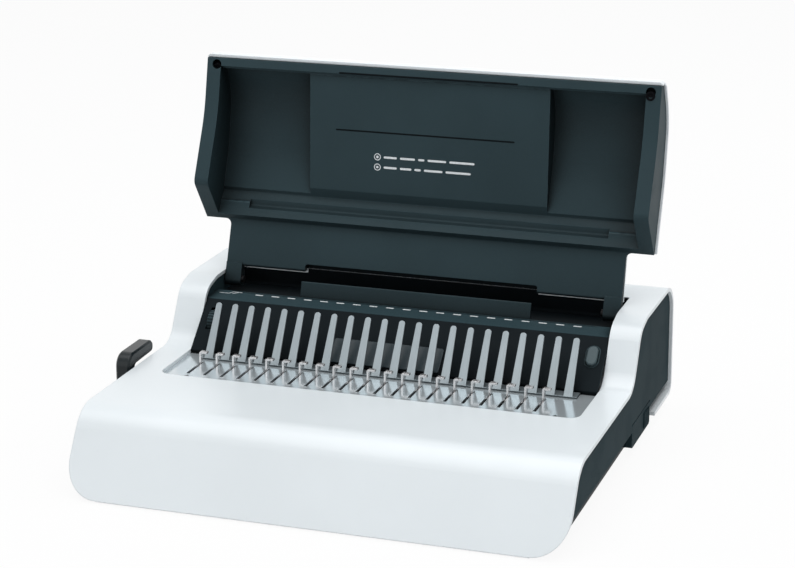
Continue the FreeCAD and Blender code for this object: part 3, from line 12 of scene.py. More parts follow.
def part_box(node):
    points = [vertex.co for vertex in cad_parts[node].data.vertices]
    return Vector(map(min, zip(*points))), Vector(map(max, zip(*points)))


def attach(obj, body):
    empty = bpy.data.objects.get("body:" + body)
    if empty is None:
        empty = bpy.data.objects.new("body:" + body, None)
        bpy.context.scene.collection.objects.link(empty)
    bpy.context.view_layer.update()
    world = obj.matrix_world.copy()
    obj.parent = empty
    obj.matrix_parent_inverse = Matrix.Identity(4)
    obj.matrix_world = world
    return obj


bl_info = {
    "name": "Comb Binding Machine",
    "version": (1, 0, 0),
    "blender": (4, 5, 0),
    "location": "3D View > Sidebar > Binder",
    "description": "Finishes and trim for a desktop comb binding machine",
    "category": "Object",
}

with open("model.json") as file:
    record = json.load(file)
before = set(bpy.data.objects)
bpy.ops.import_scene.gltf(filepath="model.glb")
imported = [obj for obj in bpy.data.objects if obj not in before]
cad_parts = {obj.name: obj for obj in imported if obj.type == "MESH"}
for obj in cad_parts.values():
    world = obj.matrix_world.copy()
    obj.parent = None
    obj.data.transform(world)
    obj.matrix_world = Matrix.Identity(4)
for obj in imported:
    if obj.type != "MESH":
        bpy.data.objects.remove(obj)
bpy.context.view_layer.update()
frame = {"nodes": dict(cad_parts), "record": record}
NODES = frame["nodes"]
SLOT_OF = {part["node"]: part["material_slot"] for part in frame["record"]["subparts"]}

# One ring of the comb lies between each tine and the next. The strip that the tines stand on
# reaches a little past the middles of the two outer tines.
RING_COUNT = 21
STRIP_ENDS = 0.014
TINES_LOW, TINES_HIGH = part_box("tine_plate")
PITCH = (TINES_HIGH.x - TINES_LOW.x - STRIP_ENDS) / RING_COUNT
MIDDLE_X = (TINES_HIGH.x + TINES_LOW.x) / 2

# Lines that find a place on a surface: their directions, and how far off they start.
BACKWARD = (0, 1, 0)
FORWARD = (0, -1, 0)
DOWNWARD = (0, 0, -1)
CLOSE_OFF = 0.02
FAR_OFF = 0.05


# ---------------------------------------------------------------- settings

def length(label, default, text):
    """A length property in metres."""
    return FloatProperty(name=label, description=text, default=default, min=0.0, precision=5,
                         unit="LENGTH")


def colour(label, default, text):
    """A colour property."""
    return FloatVectorProperty(name=label, description=text, default=default, size=3,
                               min=0.0, max=1.0, subtype="COLOR")


class BINDER_PG_sizes(bpy.types.PropertyGroup):
    """Sizes of the trim and of the worked edges."""
    edge_round: length("Edge rounding", 0.0008, "Rounding of moulded edges")
    mark_rise: length("Mark thickness", 0.00012, "Printed marks above the surface")
    dash_length: length("Dash length", 0.0072, "Dash beside each comb ring")
    dash_width: length("Dash width", 0.0015, "Width of a dash")
    hem_thickness: length("Hem thickness", 0.0005, "Dark hem round the cover's lower edge")
    ring_radius: length("Pictogram ring", 0.0026, "Radius of the rings on the lid")
    bar_height: length("Plain bar", 0.0018, "Height of the plain bars on the lid")
    bumper_radius: length("Bumper", 0.0038, "Radius of the rubber bumpers in the lid")


class BINDER_PG_colours(bpy.types.PropertyGroup):
    """Colours of the finishes, as seen under plain white light; shadow and foot hold painted
    shade.
    """
    shell: colour("Shell", (0.80, 0.85, 0.875), "Pale casing plastic")
    charcoal: colour("Charcoal", (0.026, 0.047, 0.055), "Dark moulded plastic")
    # Painted shade: the punch wall's charcoal darkened where shade falls on it, while its level
    # faces take the charcoal painted lighter; the trough's finish takes it darker still.
    shadow: colour("Deep charcoal", (0.0075, 0.0115, 0.0140), "Punch wall and trough")
    smoked: colour("Smoked plate", (0.040, 0.056, 0.064), "Plain plate low on the punch wall")
    black: colour("Black", (0.010, 0.014, 0.016), "Base and small mouldings")
    lever: colour("Lever", (0.007, 0.012, 0.014), "Glossy comb lever")
    rubber: colour("Rubber", (0.014, 0.014, 0.015), "Feet, and the oxide on the lid's pins")
    bumper: colour("Bumper", (0.003, 0.003, 0.004), "Bumpers in the lid's corners")
    deck: colour("Deck", (0.64, 0.70, 0.73), "Bright deck plate")
    tine: colour("Tines", (0.27, 0.31, 0.33), "Satin tines")
    # Painted shade on the foot of the tines' strip.
    foot: colour("Tine foot", (0.07, 0.08, 0.085), "Edge of the strip that the tines stand on")
    hook: colour("Hooks", (0.74, 0.72, 0.72), "Polished hooks")
    machined: colour("Machined steel", (0.42, 0.43, 0.45), "Shafts, punches and die")
    plated: colour("Plated sheet", (0.46, 0.47, 0.49), "Frames, motor and transformer")
    sintered: colour("Sintered steel", (0.19, 0.19, 0.20), "Drive gear")
    bronze: colour("Bronze", (0.52, 0.34, 0.15), "Bushes")
    board: colour("Circuit board", (0.02, 0.13, 0.05), "Solder mask")
    light: colour("Light plastic", (0.068, 0.098, 0.108), "Punch button")
    ink: colour("White ink", (0.82, 0.86, 0.88), "Printed marks")


# ---------------------------------------------------------------- shader building

# Sockets of a Mix node that blends colours. Their names repeat for other kinds of data.
MIX_SHARE, MIX_FIRST, MIX_SECOND, MIX_RESULT = 0, 6, 7, 2

# Samples of the nodes that look round a point, for edges and for hollows.
NEARBY_SAMPLES = 6


class Signal:
    """A node's output that can be used in sums; each operator adds a Math node."""

    def __init__(self, sheet, node, output):
        self.sheet = sheet
        self.node = node
        self.socket = node.outputs[output] if len(node.outputs) else None

    def math(self, operation, first, second):
        return self.sheet.add("ShaderNodeMath", {"operation": operation}, {0: first, 1: second})

    def __add__(self, other):
        return self.math("ADD", self, other)

    def __radd__(self, other):
        return self.math("ADD", other, self)

    def __sub__(self, other):
        return self.math("SUBTRACT", self, other)

    def __rsub__(self, other):
        return self.math("SUBTRACT", other, self)

    def __mul__(self, other):
        return self.math("MULTIPLY", self, other)

    def __rmul__(self, other):
        return self.math("MULTIPLY", other, self)

    def __or__(self, other):
        return self.math("MAXIMUM", self, other)


class NodeSheet:
    """A node tree that is emptied and filled one node at a time."""

    def __init__(self, owner):
        owner.use_nodes = True
        self.tree = owner.node_tree
        self.tree.nodes.clear()

    def add(self, kind, settings, inputs, output=0):
        """A node of a type, with its settings, then its sockets' values or links."""
        node = self.tree.nodes.new(kind)
        for key, value in settings.items():
            setattr(node, key, value)
        for key, value in inputs.items():
            if isinstance(value, Signal):
                self.tree.links.new(value.socket, node.inputs[key])
            else:
                node.inputs[key].default_value = value
        return Signal(self, node, output)

    def background_rays(self):
        """1 for the rays that see the background itself: camera, glossy and transmission."""
        camera, glossy, through = [
            self.add("ShaderNodeLightPath", {}, {}, ray)
            for ray in ("Is Camera Ray", "Is Glossy Ray", "Is Transmission Ray")
        ]
        return camera | glossy | through


class Finish(NodeSheet):
    """A procedural material: one shader, its constant values and what varies over the surface."""

    def __init__(self, name, **constants):
        self.material = bpy.data.materials.new(name)
        super().__init__(self.material)
        inputs = {socket.replace("_", " "): value for socket, value in constants.items()}
        self.surface = self.add("ShaderNodeBsdfPrincipled", {}, inputs)
        self.output = self.add("ShaderNodeOutputMaterial", {}, {"Surface": self.surface}).node

    def feed(self, socket, signal):
        """Link what varies over the surface to one of the shader's sockets."""
        self.tree.links.new(signal.socket, self.surface.node.inputs[socket])

    def place(self):
        """The object's own coordinates, which are the machine's with every joint at rest."""
        return self.add("ShaderNodeTexCoord", {}, {}, "Object")

    def upward(self, vector):
        """The Z part of a vector."""
        return self.add("ShaderNodeSeparateXYZ", {}, {"Vector": vector}, "Z")

    def noise(self, scale, detail, stretch=(1.0, 1.0, 1.0)):
        """Noise in the object's own coordinates, with so many features to the metre."""
        place = self.add("ShaderNodeMapping", {}, {"Vector": self.place(), "Scale": stretch})
        return self.add("ShaderNodeTexNoise", {},
                        {"Vector": place, "Scale": scale, "Detail": detail})

    def between(self, signal, low, high):
        """The signal as a smooth step from 0 at low to 1 at high."""
        return self.add("ShaderNodeMapRange", {"interpolation_type": "SMOOTHSTEP"},
                        {"Value": signal, "From Min": low, "From Max": high})

    def mix(self, share, first, second):
        """Colour between two colours."""
        return self.add("ShaderNodeMix", {"data_type": "RGBA"},
                        {MIX_SHARE: share, MIX_FIRST: first, MIX_SECOND: second}, MIX_RESULT)

    def rounded_edges(self, radius):
        """Normal with its edges rounded, and a mask that is 1 along those edges."""
        soft = self.add("ShaderNodeBevel", {"samples": NEARBY_SAMPLES}, {"Radius": radius})
        hard = self.add("ShaderNodeNewGeometry", {}, {}, "Normal")
        match = self.add("ShaderNodeVectorMath", {"operation": "DOT_PRODUCT"},
                         {0: soft, 1: hard}, "Value")
        return soft, self.between(1 - match, low=0.01, high=0.16)

    def bump(self, height, distance, strength, normal=None):
        """Normal with fine relief, over another normal where one is given."""
        inputs = {"Height": height, "Distance": distance, "Strength": strength}
        if normal is not None:
            inputs["Normal"] = normal
        return self.add("ShaderNodeBump", {}, inputs)

    def painted_hollow_shade(self, reach):
        """1 deep inside corners and pockets, 0 on open faces; it masks painted shade."""
        openness = self.add("ShaderNodeAmbientOcclusion", {"samples": NEARBY_SAMPLES},
                            {"Distance": reach}, "AO")
        return 1 - self.between(openness, low=0.45, high=0.96)

    def facing_up(self):
        """1 on level faces that look up, 0 on walls and slopes."""
        normal = self.add("ShaderNodeNewGeometry", {}, {}, "True Normal")
        return self.between(self.upward(normal), low=0.88, high=0.97)

    def below(self, level):
        """1 under a height in the object's own coordinates."""
        blur = 0.0002
        return 1 - self.between(self.upward(self.place()), level - blur, level)


# ---------------------------------------------------------------- finishes

def scaled(rgb, factor):
    """A colour made lighter or darker."""
    return tuple(min(1.0, c * factor) for c in rgb)


def shade(rgb, factor=1.0):
    """A colour made lighter or darker, with its alpha."""
    return scaled(rgb, factor) + (1.0,)


def moulded(name, rgb, rough, grain, depth, wear, radius, lit_top_rgb=None, hollow=None,
            **constants):
    """Injection-moulded plastic: spark-eroded grain, slight mottling, polished edges painted
    lighter, as wear and as a painted highlight.

    Level faces take the top colour where one is given, a painted light, and hollow is how far
    round it a corner darkens with painted shade.
    """
    made = Finish(name, **constants)
    normal, edge = made.rounded_edges(radius)
    cloud = made.between(made.noise(scale=14.0, detail=2.0), low=0.3, high=0.7)
    speck = made.noise(scale=grain * 0.35, detail=2.0)
    rubbed_and_lit_edge = edge * made.between(made.noise(scale=160.0, detail=4.0), low=0.30, high=0.62)
    tone = made.mix(cloud, shade(rgb, 0.93), shade(rgb, 1.06))
    # Painted light: level faces that look up take a lighter colour than walls and slopes.
    if lit_top_rgb is not None:
        tone = made.mix(made.facing_up(), tone, shade(lit_top_rgb, 1.20))
    tone = made.mix(made.between(speck, low=0.52, high=0.70) * 0.25, tone, shade(rgb, 1.18))
    # Edges painted lighter: partly wear, partly a painted highlight.
    tone = made.mix(rubbed_and_lit_edge * wear, tone, shade(lit_top_rgb or rgb, 3.0))
    # Painted shade in corners and pockets.
    if hollow is not None:
        tone = made.mix(made.painted_hollow_shade(hollow), tone, shade(rgb, 0.20))
    made.feed("Base Color", tone)
    handled = made.between(made.noise(scale=38.0, detail=4.0), low=0.45, high=0.65)
    made.feed("Roughness", rough - 0.10 * rubbed_and_lit_edge + 0.05 * handled + 0.05 * (speck - 0.5))
    relief = made.noise(scale=grain, detail=2.0)
    made.feed("Normal", made.bump(relief, distance=depth, strength=0.5, normal=normal))
    return made.material


def satin_metal(name, rgb, rough, run, scratch, radius, wear=0.35, metallic=1.0, foot=None):
    """Rolled or machined metal: fine lines along one direction, soft stains, bright edges.

    Run stretches the lines, and foot is a height with a colour of painted shade that the metal
    takes below it.
    """
    made = Finish(name, Metallic=metallic)
    normal, edge = made.rounded_edges(radius)
    lines = made.noise(scale=900.0, detail=3.0, stretch=run)
    stain = made.between(made.noise(scale=24.0, detail=4.0), low=0.40, high=0.68)
    tone = made.mix(lines, shade(rgb, 0.90), shade(rgb, 1.10))
    tone = made.mix(stain * 0.30, tone, shade(rgb, 0.84))
    tone = made.mix(edge * wear, tone, shade(rgb, 1.35))
    # Painted shade below the foot's height.
    if foot is not None:
        level, shaded_foot_rgb = foot
        tone = made.mix(made.below(level), tone, shade(shaded_foot_rgb))
    made.feed("Base Color", tone)
    made.feed("Roughness", rough + 0.12 * (lines - 0.5) + 0.08 * stain - 0.06 * edge)
    made.feed("Normal", made.bump(lines, distance=scratch, strength=0.35, normal=normal))
    return made.material


def shell_plastic(name, rgb, radius):
    """Pale glossy casing: faint flow lines and handling marks under a clear skin."""
    made = Finish(name, Coat_Weight=0.25, Coat_Roughness=0.16)
    normal, edge = made.rounded_edges(radius)
    cloud = made.between(made.noise(scale=7.0, detail=3.0), low=0.3, high=0.7)
    dust = made.between(made.noise(scale=420.0, detail=5.0), low=0.66, high=0.80)
    tone = made.mix(cloud, shade(rgb, 0.975), shade(rgb, 1.02))
    tone = made.mix(dust * 0.20, tone, shade(rgb, 0.80))
    tone = made.mix(edge * 0.35, tone, shade(rgb, 0.86))
    made.feed("Base Color", tone)
    smear = made.between(made.noise(scale=30.0, detail=5.0), low=0.48, high=0.70)
    made.feed("Roughness", 0.33 + 0.06 * smear + 0.05 * dust)
    ripple = made.noise(scale=520.0, detail=2.0)
    made.feed("Normal", made.bump(ripple, distance=0.00002, strength=0.4, normal=normal))
    return made.material


def rubber_finish(name, rgb, radius, gloss):
    """Matte rubber with a chalky bloom."""
    made = Finish(name, Specular_IOR_Level=gloss)
    normal, edge = made.rounded_edges(radius)
    bloom = made.between(made.noise(scale=90.0, detail=5.0), low=0.45, high=0.70)
    made.feed("Base Color", made.mix(bloom * 0.5 | edge * 0.4, shade(rgb), shade(rgb, 2.2)))
    made.feed("Roughness", 0.72 + 0.15 * bloom)
    skin = made.noise(scale=1500.0, detail=2.0)
    made.feed("Normal", made.bump(skin, distance=0.00006, strength=0.5, normal=normal))
    return made.material


def board_finish(name, rgb, radius):
    """Circuit board under solder mask: copper tracks show through, and the cut edge is bare."""
    made = Finish(name, Coat_Weight=0.4, Coat_Roughness=0.12)
    normal, edge = made.rounded_edges(radius)
    bare_edge = (0.35, 0.33, 0.20, 1.0)
    pattern = made.noise(scale=260.0, detail=0.0, stretch=(1.0, 0.25, 1.0))
    tracks = made.between(pattern, low=0.52, high=0.56)
    tone = made.mix(tracks * 0.6, shade(rgb), shade(rgb, 1.9))
    made.feed("Base Color", made.mix(edge * 0.5, tone, bare_edge))
    made.feed("Roughness", 0.35 + 0.15 * tracks)
    made.feed("Normal", made.bump(tracks, distance=0.00003, strength=0.6, normal=normal))
    return made.material


def ink_finish(name, rgb):
    """Pad-printed ink, thin in places."""
    made = Finish(name)
    cover = made.between(made.noise(scale=1900.0, detail=4.0), low=0.30, high=0.62)
    made.feed("Base Color", made.mix(cover, shade(rgb, 0.72), shade(rgb)))
    made.feed("Roughness", 0.5 + 0.2 * cover)
    made.feed("Normal", made.bump(cover, distance=0.00002, strength=0.5))
    return made.material


# How the lines of a metal run: not at all, along the machine (ground or rolled), or up the tines.
NO_RUN = (1.0, 1.0, 1.0)
GROUND = (0.05, 1.0, 1.0)
ROLLED = (0.02, 1.0, 1.0)
BRUSHED = (1.0, 0.05, 0.05)

# The tines' strip is painted dark up to this height above its underside, a painted shade as from
# the carriage.
STRIP_SHADE_HEIGHT = 0.0014


def plastic_finishes(colours, edge):
    """The mouldings, by the name of their slot or of their own finish."""
    return {
        "shell_white": shell_plastic("pale_shell", colours.shell, edge),
        # Painted shade darkens its hollows, the lid's pockets among them.
        "charcoal_plastic": moulded(
            "charcoal_moulding", colours.charcoal, rough=0.52, grain=2300.0, depth=0.00008,
            wear=0.55, radius=edge, hollow=0.080, Specular_IOR_Level=0.12),
        # The punch housing: painted shade on its wall, its level faces painted lighter, and
        # painted shade in its corners.
        "lit_and_shaded_charcoal": moulded(
            "lit_and_shaded_charcoal_moulding", colours.shadow, rough=0.50, grain=2300.0, depth=0.00006,
            wear=0.35, radius=edge, lit_top_rgb=colours.charcoal, hollow=0.012,
            Specular_IOR_Level=0.04),
        "trough_black": moulded(
            "trough_moulding", scaled(colours.shadow, 0.6), rough=0.60, grain=2300.0,
            depth=0.00006, wear=0.20, radius=edge, Specular_IOR_Level=0.04),
        "side_charcoal": moulded(
            "side_panel_moulding", scaled(colours.charcoal, 0.80), rough=0.62, grain=2000.0,
            depth=0.00010, wear=0.45, radius=edge, Specular_IOR_Level=0.03),
        "smoked_plate": moulded(
            "smoked_plate_moulding", colours.smoked, rough=0.30, grain=900.0, depth=0.00001,
            wear=0.30, radius=edge, Specular_IOR_Level=0.20),
        "black_plastic": moulded(
            "black_moulding", colours.black, rough=0.52, grain=2000.0, depth=0.00009,
            wear=0.40, radius=edge, Specular_IOR_Level=0.15),
        "lever_black": moulded(
            "lever_moulding", colours.lever, rough=0.20, grain=1300.0, depth=0.000006,
            wear=0.60, radius=edge, Specular_IOR_Level=0.28),
        "light_plastic": moulded(
            "light_moulding", colours.light, rough=0.42, grain=1500.0, depth=0.00003,
            wear=0.20, radius=edge, Specular_IOR_Level=0.20),
        "bumper_rubber": rubber_finish("bumper_rubber_finish", colours.bumper, edge, gloss=0.05),
        "foot_rubber": rubber_finish("foot_rubber_finish", colours.rubber, edge, gloss=0.30),
        "board_green": board_finish("solder_mask", colours.board, edge / 2),
        "ink": ink_finish("white_ink", colours.ink),
    }


def metal_finishes(colours, edge):
    """The metals, by the name of their slot or of their own finish."""
    return {
        "black_oxide": satin_metal(
            "black_oxide_steel", colours.rubber, rough=0.50, run=NO_RUN, scratch=0.00002,
            radius=edge / 2),
        "deck_steel": satin_metal(
            "bright_plate", colours.deck, rough=0.14, run=ROLLED, scratch=0.000004,
            radius=edge / 3, metallic=0.62),
        # The foot of the tines' strip takes painted shade.
        "tine_steel": satin_metal(
            "satin_tine", colours.tine, rough=0.42, run=BRUSHED, scratch=0.00003,
            radius=edge / 3, metallic=0.85, foot=(TINES_LOW.z + STRIP_SHADE_HEIGHT, colours.foot)),
        "hook_steel": satin_metal(
            "polished_hook", colours.hook, rough=0.24, run=NO_RUN, scratch=0.000005,
            radius=edge / 3, metallic=0.80),
        "mechanism_steel": satin_metal(
            "machined_steel", colours.machined, rough=0.30, run=GROUND, scratch=0.00002,
            radius=edge / 2),
        "frame_steel": satin_metal(
            "plated_sheet", colours.plated, rough=0.42, run=NO_RUN, scratch=0.00002,
            radius=edge / 2),
        "gear_steel": satin_metal(
            "sintered_steel", colours.sintered, rough=0.48, run=NO_RUN, scratch=0.00006,
            radius=edge / 3, wear=0.6),
        "bronze_bush": satin_metal(
            "bronze", colours.bronze, rough=0.34, run=GROUND, scratch=0.00002,
            radius=edge / 2),
    }


# Filled by the first step, which the others follow.
FINISHES = {}

# Nodes whose finish differs from the rest of their slot.
OWN_FINISH = {
    "punch_housing": "lit_and_shaded_charcoal",
    "hinge_trough": "trough_black",
    "wall_insert": "smoked_plate",
    "side_panel_left": "side_charcoal",
    "side_panel_right": "side_charcoal",
    "arm_lining_left": "side_charcoal",
    "arm_lining_right": "side_charcoal",
    "hook_carriage": "hook_steel",
    "edge_wheel": "charcoal_plastic",
    "chip_drawer": "side_charcoal",
    "lid_pins": "black_oxide",
}


# ---------------------------------------------------------------- mesh building

MERGE_DISTANCE = 1e-7
SHARP_ANGLE = math.radians(35)
UPRIGHT = Matrix.Rotation(math.pi / 2, 4, "Z")


def landing(node, start, direction):
    """A plane where a line meets a node: Z points out of the surface, X along the machine."""
    mesh = NODES[node].data
    corners = [vertex.co for vertex in mesh.vertices]
    tree = BVHTree.FromPolygons(corners, [face.vertices for face in mesh.polygons])
    point, normal = tree.ray_cast(Vector(start), Vector(direction))[:2]
    if point is None:
        raise RuntimeError("the line misses %s" % node)
    if normal.dot(Vector(direction)) > 0:
        normal.negate()
    side = Vector((1, 0, 0))
    side = (side - side.dot(normal) * normal).normalized()
    up = normal.cross(side)
    return Matrix.Translation(point) @ Matrix((side, up, normal)).transposed().to_4x4()


def capsule(half_length, half_width, steps=5):
    """Outline of a bar with round ends."""
    points = []
    straight = half_length - half_width
    for centre, first in ((straight, -90.0), (-straight, 90.0)):
        for i in range(steps + 1):
            angle = math.radians(first + 180.0 * i / steps)
            points.append((centre + half_width * math.cos(angle), half_width * math.sin(angle)))
    return points


def join_rings(bm, low, high):
    """A band of faces between two closed rings with as many corners each."""
    count = len(low)
    for i in range(count):
        after = (i + 1) % count
        bm.faces.new((low[i], low[after], high[after], high[i]))


def add_plate(bm, outline, place, rise):
    """A thin plate on a surface, sunk a little into it, with its upper rim eased."""
    count = len(outline)
    middle = Vector((sum(u for u, v in outline) / count, sum(v for u, v in outline) / count))
    ease = 0.6 * rise
    smallest = 1e-6
    rings = []
    for height, inset in ((-rise, 0.0), (rise - ease, 0.0), (rise, ease)):
        ring = []
        for u, v in outline:
            away = Vector((u, v)) - middle
            at = middle + away * max(0.0, 1.0 - inset / max(away.length, smallest))
            ring.append(bm.verts.new(place @ Vector((at.x, at.y, height))))
        rings.append(ring)
    for low, high in zip(rings, rings[1:]):
        join_rings(bm, low, high)
    bm.faces.new(rings[-1])
    bm.faces.new(reversed(rings[0]))


def add_rim(bm, inner, outer, place, rise):
    """A raised rim between two outlines with as many points each, sunk into the surface."""
    rings = []
    shoulder = 0.6 * rise
    for outline, height in ((inner, -rise), (inner, rise), (outer, shoulder), (outer, -rise)):
        rings.append([bm.verts.new(place @ Vector((u, v, height))) for u, v in outline])
    for low, high in zip(rings, rings[1:] + rings[:1]):
        join_rings(bm, low, high)


def add_lathe(bm, profile, place, steps, closed=True):
    """A turned form: profile points (radius, height) about the plane's Z axis."""
    rings = []
    for i in range(steps):
        turn = Matrix.Rotation(2 * math.pi * i / steps, 4, "Z")
        rings.append([bm.verts.new(place @ turn @ Vector((r, 0, h))) for r, h in profile])
    last = len(profile) if closed else len(profile) - 1
    for i in range(steps):
        here = rings[i]
        there = rings[(i + 1) % steps]
        for k in range(last):
            after = (k + 1) % len(profile)
            bm.faces.new((here[k], there[k], there[after], here[after]))


def round_wire(radius, thickness, rise, steps=8):
    """Section of a raised ring: a half round that stands on the surface."""
    half = thickness / 2
    points = [(radius - half, -rise), (radius + half, -rise)]
    for i in range(steps + 1):
        angle = math.pi * i / steps
        points.append((radius + half * math.cos(angle), rise * math.sin(angle)))
    return points


def finish_piece(name, bm, slot, body, finish=None):
    """Turn a bmesh into a piece with its material, riding on a body."""
    bmesh.ops.remove_doubles(bm, verts=bm.verts, dist=MERGE_DISTANCE)
    bmesh.ops.recalc_face_normals(bm, faces=bm.faces)
    mesh = bpy.data.meshes.new(name)
    bm.to_mesh(mesh)
    bm.free()
    mesh.shade_smooth()
    piece = bpy.data.objects.new(name, mesh)
    bpy.context.scene.collection.objects.link(piece)
    mesh.materials.append(FINISHES[finish or slot])
    mesh.set_sharp_from_angle(angle=SHARP_ANGLE)
    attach(piece, body)
    return piece


# ---------------------------------------------------------------- operators

class BINDER_OT_dress_frame(bpy.types.Operator):
    """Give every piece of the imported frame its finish"""
    bl_idname = "binder.dress_frame"
    bl_label = "Dress the Frame"

    def execute(self, context):
        colours = context.scene.binder_colours
        edge = context.scene.binder_sizes.edge_round
        FINISHES.update(plastic_finishes(colours, edge))
        FINISHES.update(metal_finishes(colours, edge))
        for node, piece in NODES.items():
            for slot in piece.material_slots:
                slot.material = FINISHES[OWN_FINISH.get(node, SLOT_OF[node])]
        return {"FINISHED"}


# Marks across the shelf, in metres.
DASHES_FROM_REAR = 0.0057
LINE_BEHIND_DASHES = 0.0030
LINE_HALF_WIDTH = 0.0004
SHEET_SIGN_HALF_WIDTH = 0.0003
# Along the shelf, in pitches of the comb: each dash past its ring, the line, the sheet's sign.
DASH_SHIFT = 0.36
LINE_LENGTH = RING_COUNT + 0.8
SHEET_SIGN_AT = -RING_COUNT / 2 - 0.45
# Strokes of the sign for a sheet: their middle, half length, and turn in degrees.
SHEET_SIGN = (
    (-0.0050, -0.0016, 0.0042, 0),
    (0.0006, 0.0, 0.0024, 55),
    (0.0056, 0.0020, 0.0044, 0),
    (0.0048, -0.0002, 0.0028, 40),
)


class BINDER_OT_shelf_marks(bpy.types.Operator):
    """Dashes along the comb rings, a thin dark line behind them and a small sheet pictogram"""
    bl_idname = "binder.shelf_marks"
    bl_label = "Shelf Marks"

    def execute(self, context):
        sizes = context.scene.binder_sizes
        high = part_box("punch_housing")[1]
        row_y = high.y - DASHES_FROM_REAR

        def on_shelf(pitches, back):
            start = (MIDDLE_X + pitches * PITCH, row_y + back, high.z + CLOSE_OFF)
            return landing("punch_housing", start, DOWNWARD)

        bm = bmesh.new()
        dash = capsule(sizes.dash_length / 2, sizes.dash_width / 2, steps=2)
        for i in range(1, RING_COUNT):
            place = on_shelf(i - RING_COUNT / 2 + DASH_SHIFT, 0)
            add_plate(bm, dash, place, sizes.mark_rise)
        corner = on_shelf(SHEET_SIGN_AT, 0)
        for u, v, half_length, degrees in SHEET_SIGN:
            turn = Matrix.Rotation(math.radians(degrees), 4, "Z")
            stroke = capsule(half_length, SHEET_SIGN_HALF_WIDTH, steps=2)
            add_plate(bm, stroke, corner @ Matrix.Translation((u, v, 0)) @ turn, sizes.mark_rise)
        finish_piece("shelf_marks", bm, "light_plastic", "machine", "ink")
        bm = bmesh.new()
        scribed = capsule(LINE_LENGTH / 2 * PITCH, LINE_HALF_WIDTH, steps=3)
        add_plate(bm, scribed, on_shelf(0, LINE_BEHIND_DASHES), sizes.mark_rise / 2)
        finish_piece("shelf_line", bm, "charcoal_plastic", "machine", "trough_black")
        return {"FINISHED"}


# The rim round the button: where it starts and ends outside the button, and its height.
RIM_INNER = 0.0006
RIM_OUTER = 0.0017
RIM_RISE = 0.0005
# Far enough from the button to land on the wall beside its opening.
BESIDE_BUTTON = 0.006


class BINDER_OT_button_rim(bpy.types.Operator):
    """Thin raised rim round the punch button's opening in the wall"""
    bl_idname = "binder.button_rim"
    bl_label = "Button Rim"

    def execute(self, context):
        low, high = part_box("punch_button")
        beside = (low.x - BESIDE_BUTTON, low.y - FAR_OFF, (low.z + high.z) / 2)
        wall = landing("punch_housing", beside, BACKWARD)
        corners = NODES["punch_button"].data.vertices
        on_wall = [wall.inverted() @ corner.co for corner in corners]
        left, right = min(p.x for p in on_wall), max(p.x for p in on_wall)
        foot, top = min(p.y for p in on_wall), max(p.y for p in on_wall)
        middle = Matrix.Translation(((left + right) / 2, (foot + top) / 2, 0))
        inner, outer = (
            capsule((top - foot) / 2 + gap, (right - left) / 2 + gap, steps=10)
            for gap in (RIM_INNER, RIM_OUTER)
        )
        bm = bmesh.new()
        add_rim(bm, inner, outer, wall @ middle @ UPRIGHT, RIM_RISE)
        finish_piece("button_rim", bm, "charcoal_plastic", "machine")
        return {"FINISHED"}


# Lines on the lid's panel: half length, half width, middle, and depth below its top. The first is
# ruled; the second is a painted shadow under the panel's top edge.
PANEL_LINES = (
    (0.0765, 0.0006, -0.003, 0.0540),
    (0.0760, 0.0007, 0.0, 0.0062),
)
# Two rows of a ring, its dot and plain bars: where they start, and the lengths of the bars.
ROW_LEFT = -0.0430
ROW_DEPTH = 0.0745
ROW_STEP = 0.0085
RING_WIRE = 0.0007
DOT_RADIUS = 0.0011
RING_TO_BAR = 0.0028
BAR_TO_BAR = 0.0026
BAR_ROWS = (
    (0.0115, 0.0130, 0.0055, 0.0160, 0.0215),
    (0.0115, 0.0100, 0.0055, 0.0160, 0.0215),
)


class BINDER_OT_lid_marks(bpy.types.Operator):
    """A ruled line on the lid's centre panel, a painted shadow under its top edge, and below them
    two rows of a ring and plain bars
    """
    bl_idname = "binder.lid_marks"
    bl_label = "Lid Marks"

    def execute(self, context):
        sizes = context.scene.binder_sizes
        low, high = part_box("lid_liner")
        centre = (low.x + high.x) / 2

        def on_panel(x, z):
            return landing("lid_liner", (centre + x, low.y - FAR_OFF, z), BACKWARD)

        bm = bmesh.new()
        for half_length, half_width, x, depth in PANEL_LINES:
            line = capsule(half_length, half_width)
            add_plate(bm, line, on_panel(x, high.z - depth), sizes.mark_rise)
        finish_piece("panel_line_and_painted_shadow", bm, "charcoal_plastic", "lid", "trough_black")
        bm = bmesh.new()
        ring = round_wire(sizes.ring_radius, RING_WIRE, sizes.mark_rise)
        dot = capsule(DOT_RADIUS, DOT_RADIUS, steps=8)
        for row, bars in enumerate(BAR_ROWS):
            z = high.z - ROW_DEPTH - ROW_STEP * row
            x = ROW_LEFT
            add_lathe(bm, ring, on_panel(x, z), steps=28)
            add_plate(bm, dot, on_panel(x, z), sizes.mark_rise)
            x += sizes.ring_radius + RING_TO_BAR
            for bar in bars:
                outline = capsule(bar / 2, sizes.bar_height / 2)
                add_plate(bm, outline, on_panel(x + bar / 2, z), sizes.mark_rise)
                x += bar + BAR_TO_BAR
        finish_piece("panel_pictograms", bm, "light_plastic", "lid", "ink")
        return {"FINISHED"}


# A bumper: its middle inside the liner's corner, and its profile as (share of radius, height).
BUMPER_INSET = 0.0085
BUMPER_SUNK = 0.0005
BUMPER_PROFILE = (
    (0.0, 0.0004), (0.45, 0.0004), (0.55, 0.0010), (0.86, 0.0012),
    (1.0, 0.0004), (1.0, -0.004), (0.0, -0.004),
)
# Far enough from a bumper's middle to land beside its hole.
BESIDE_HOLE = 0.0052


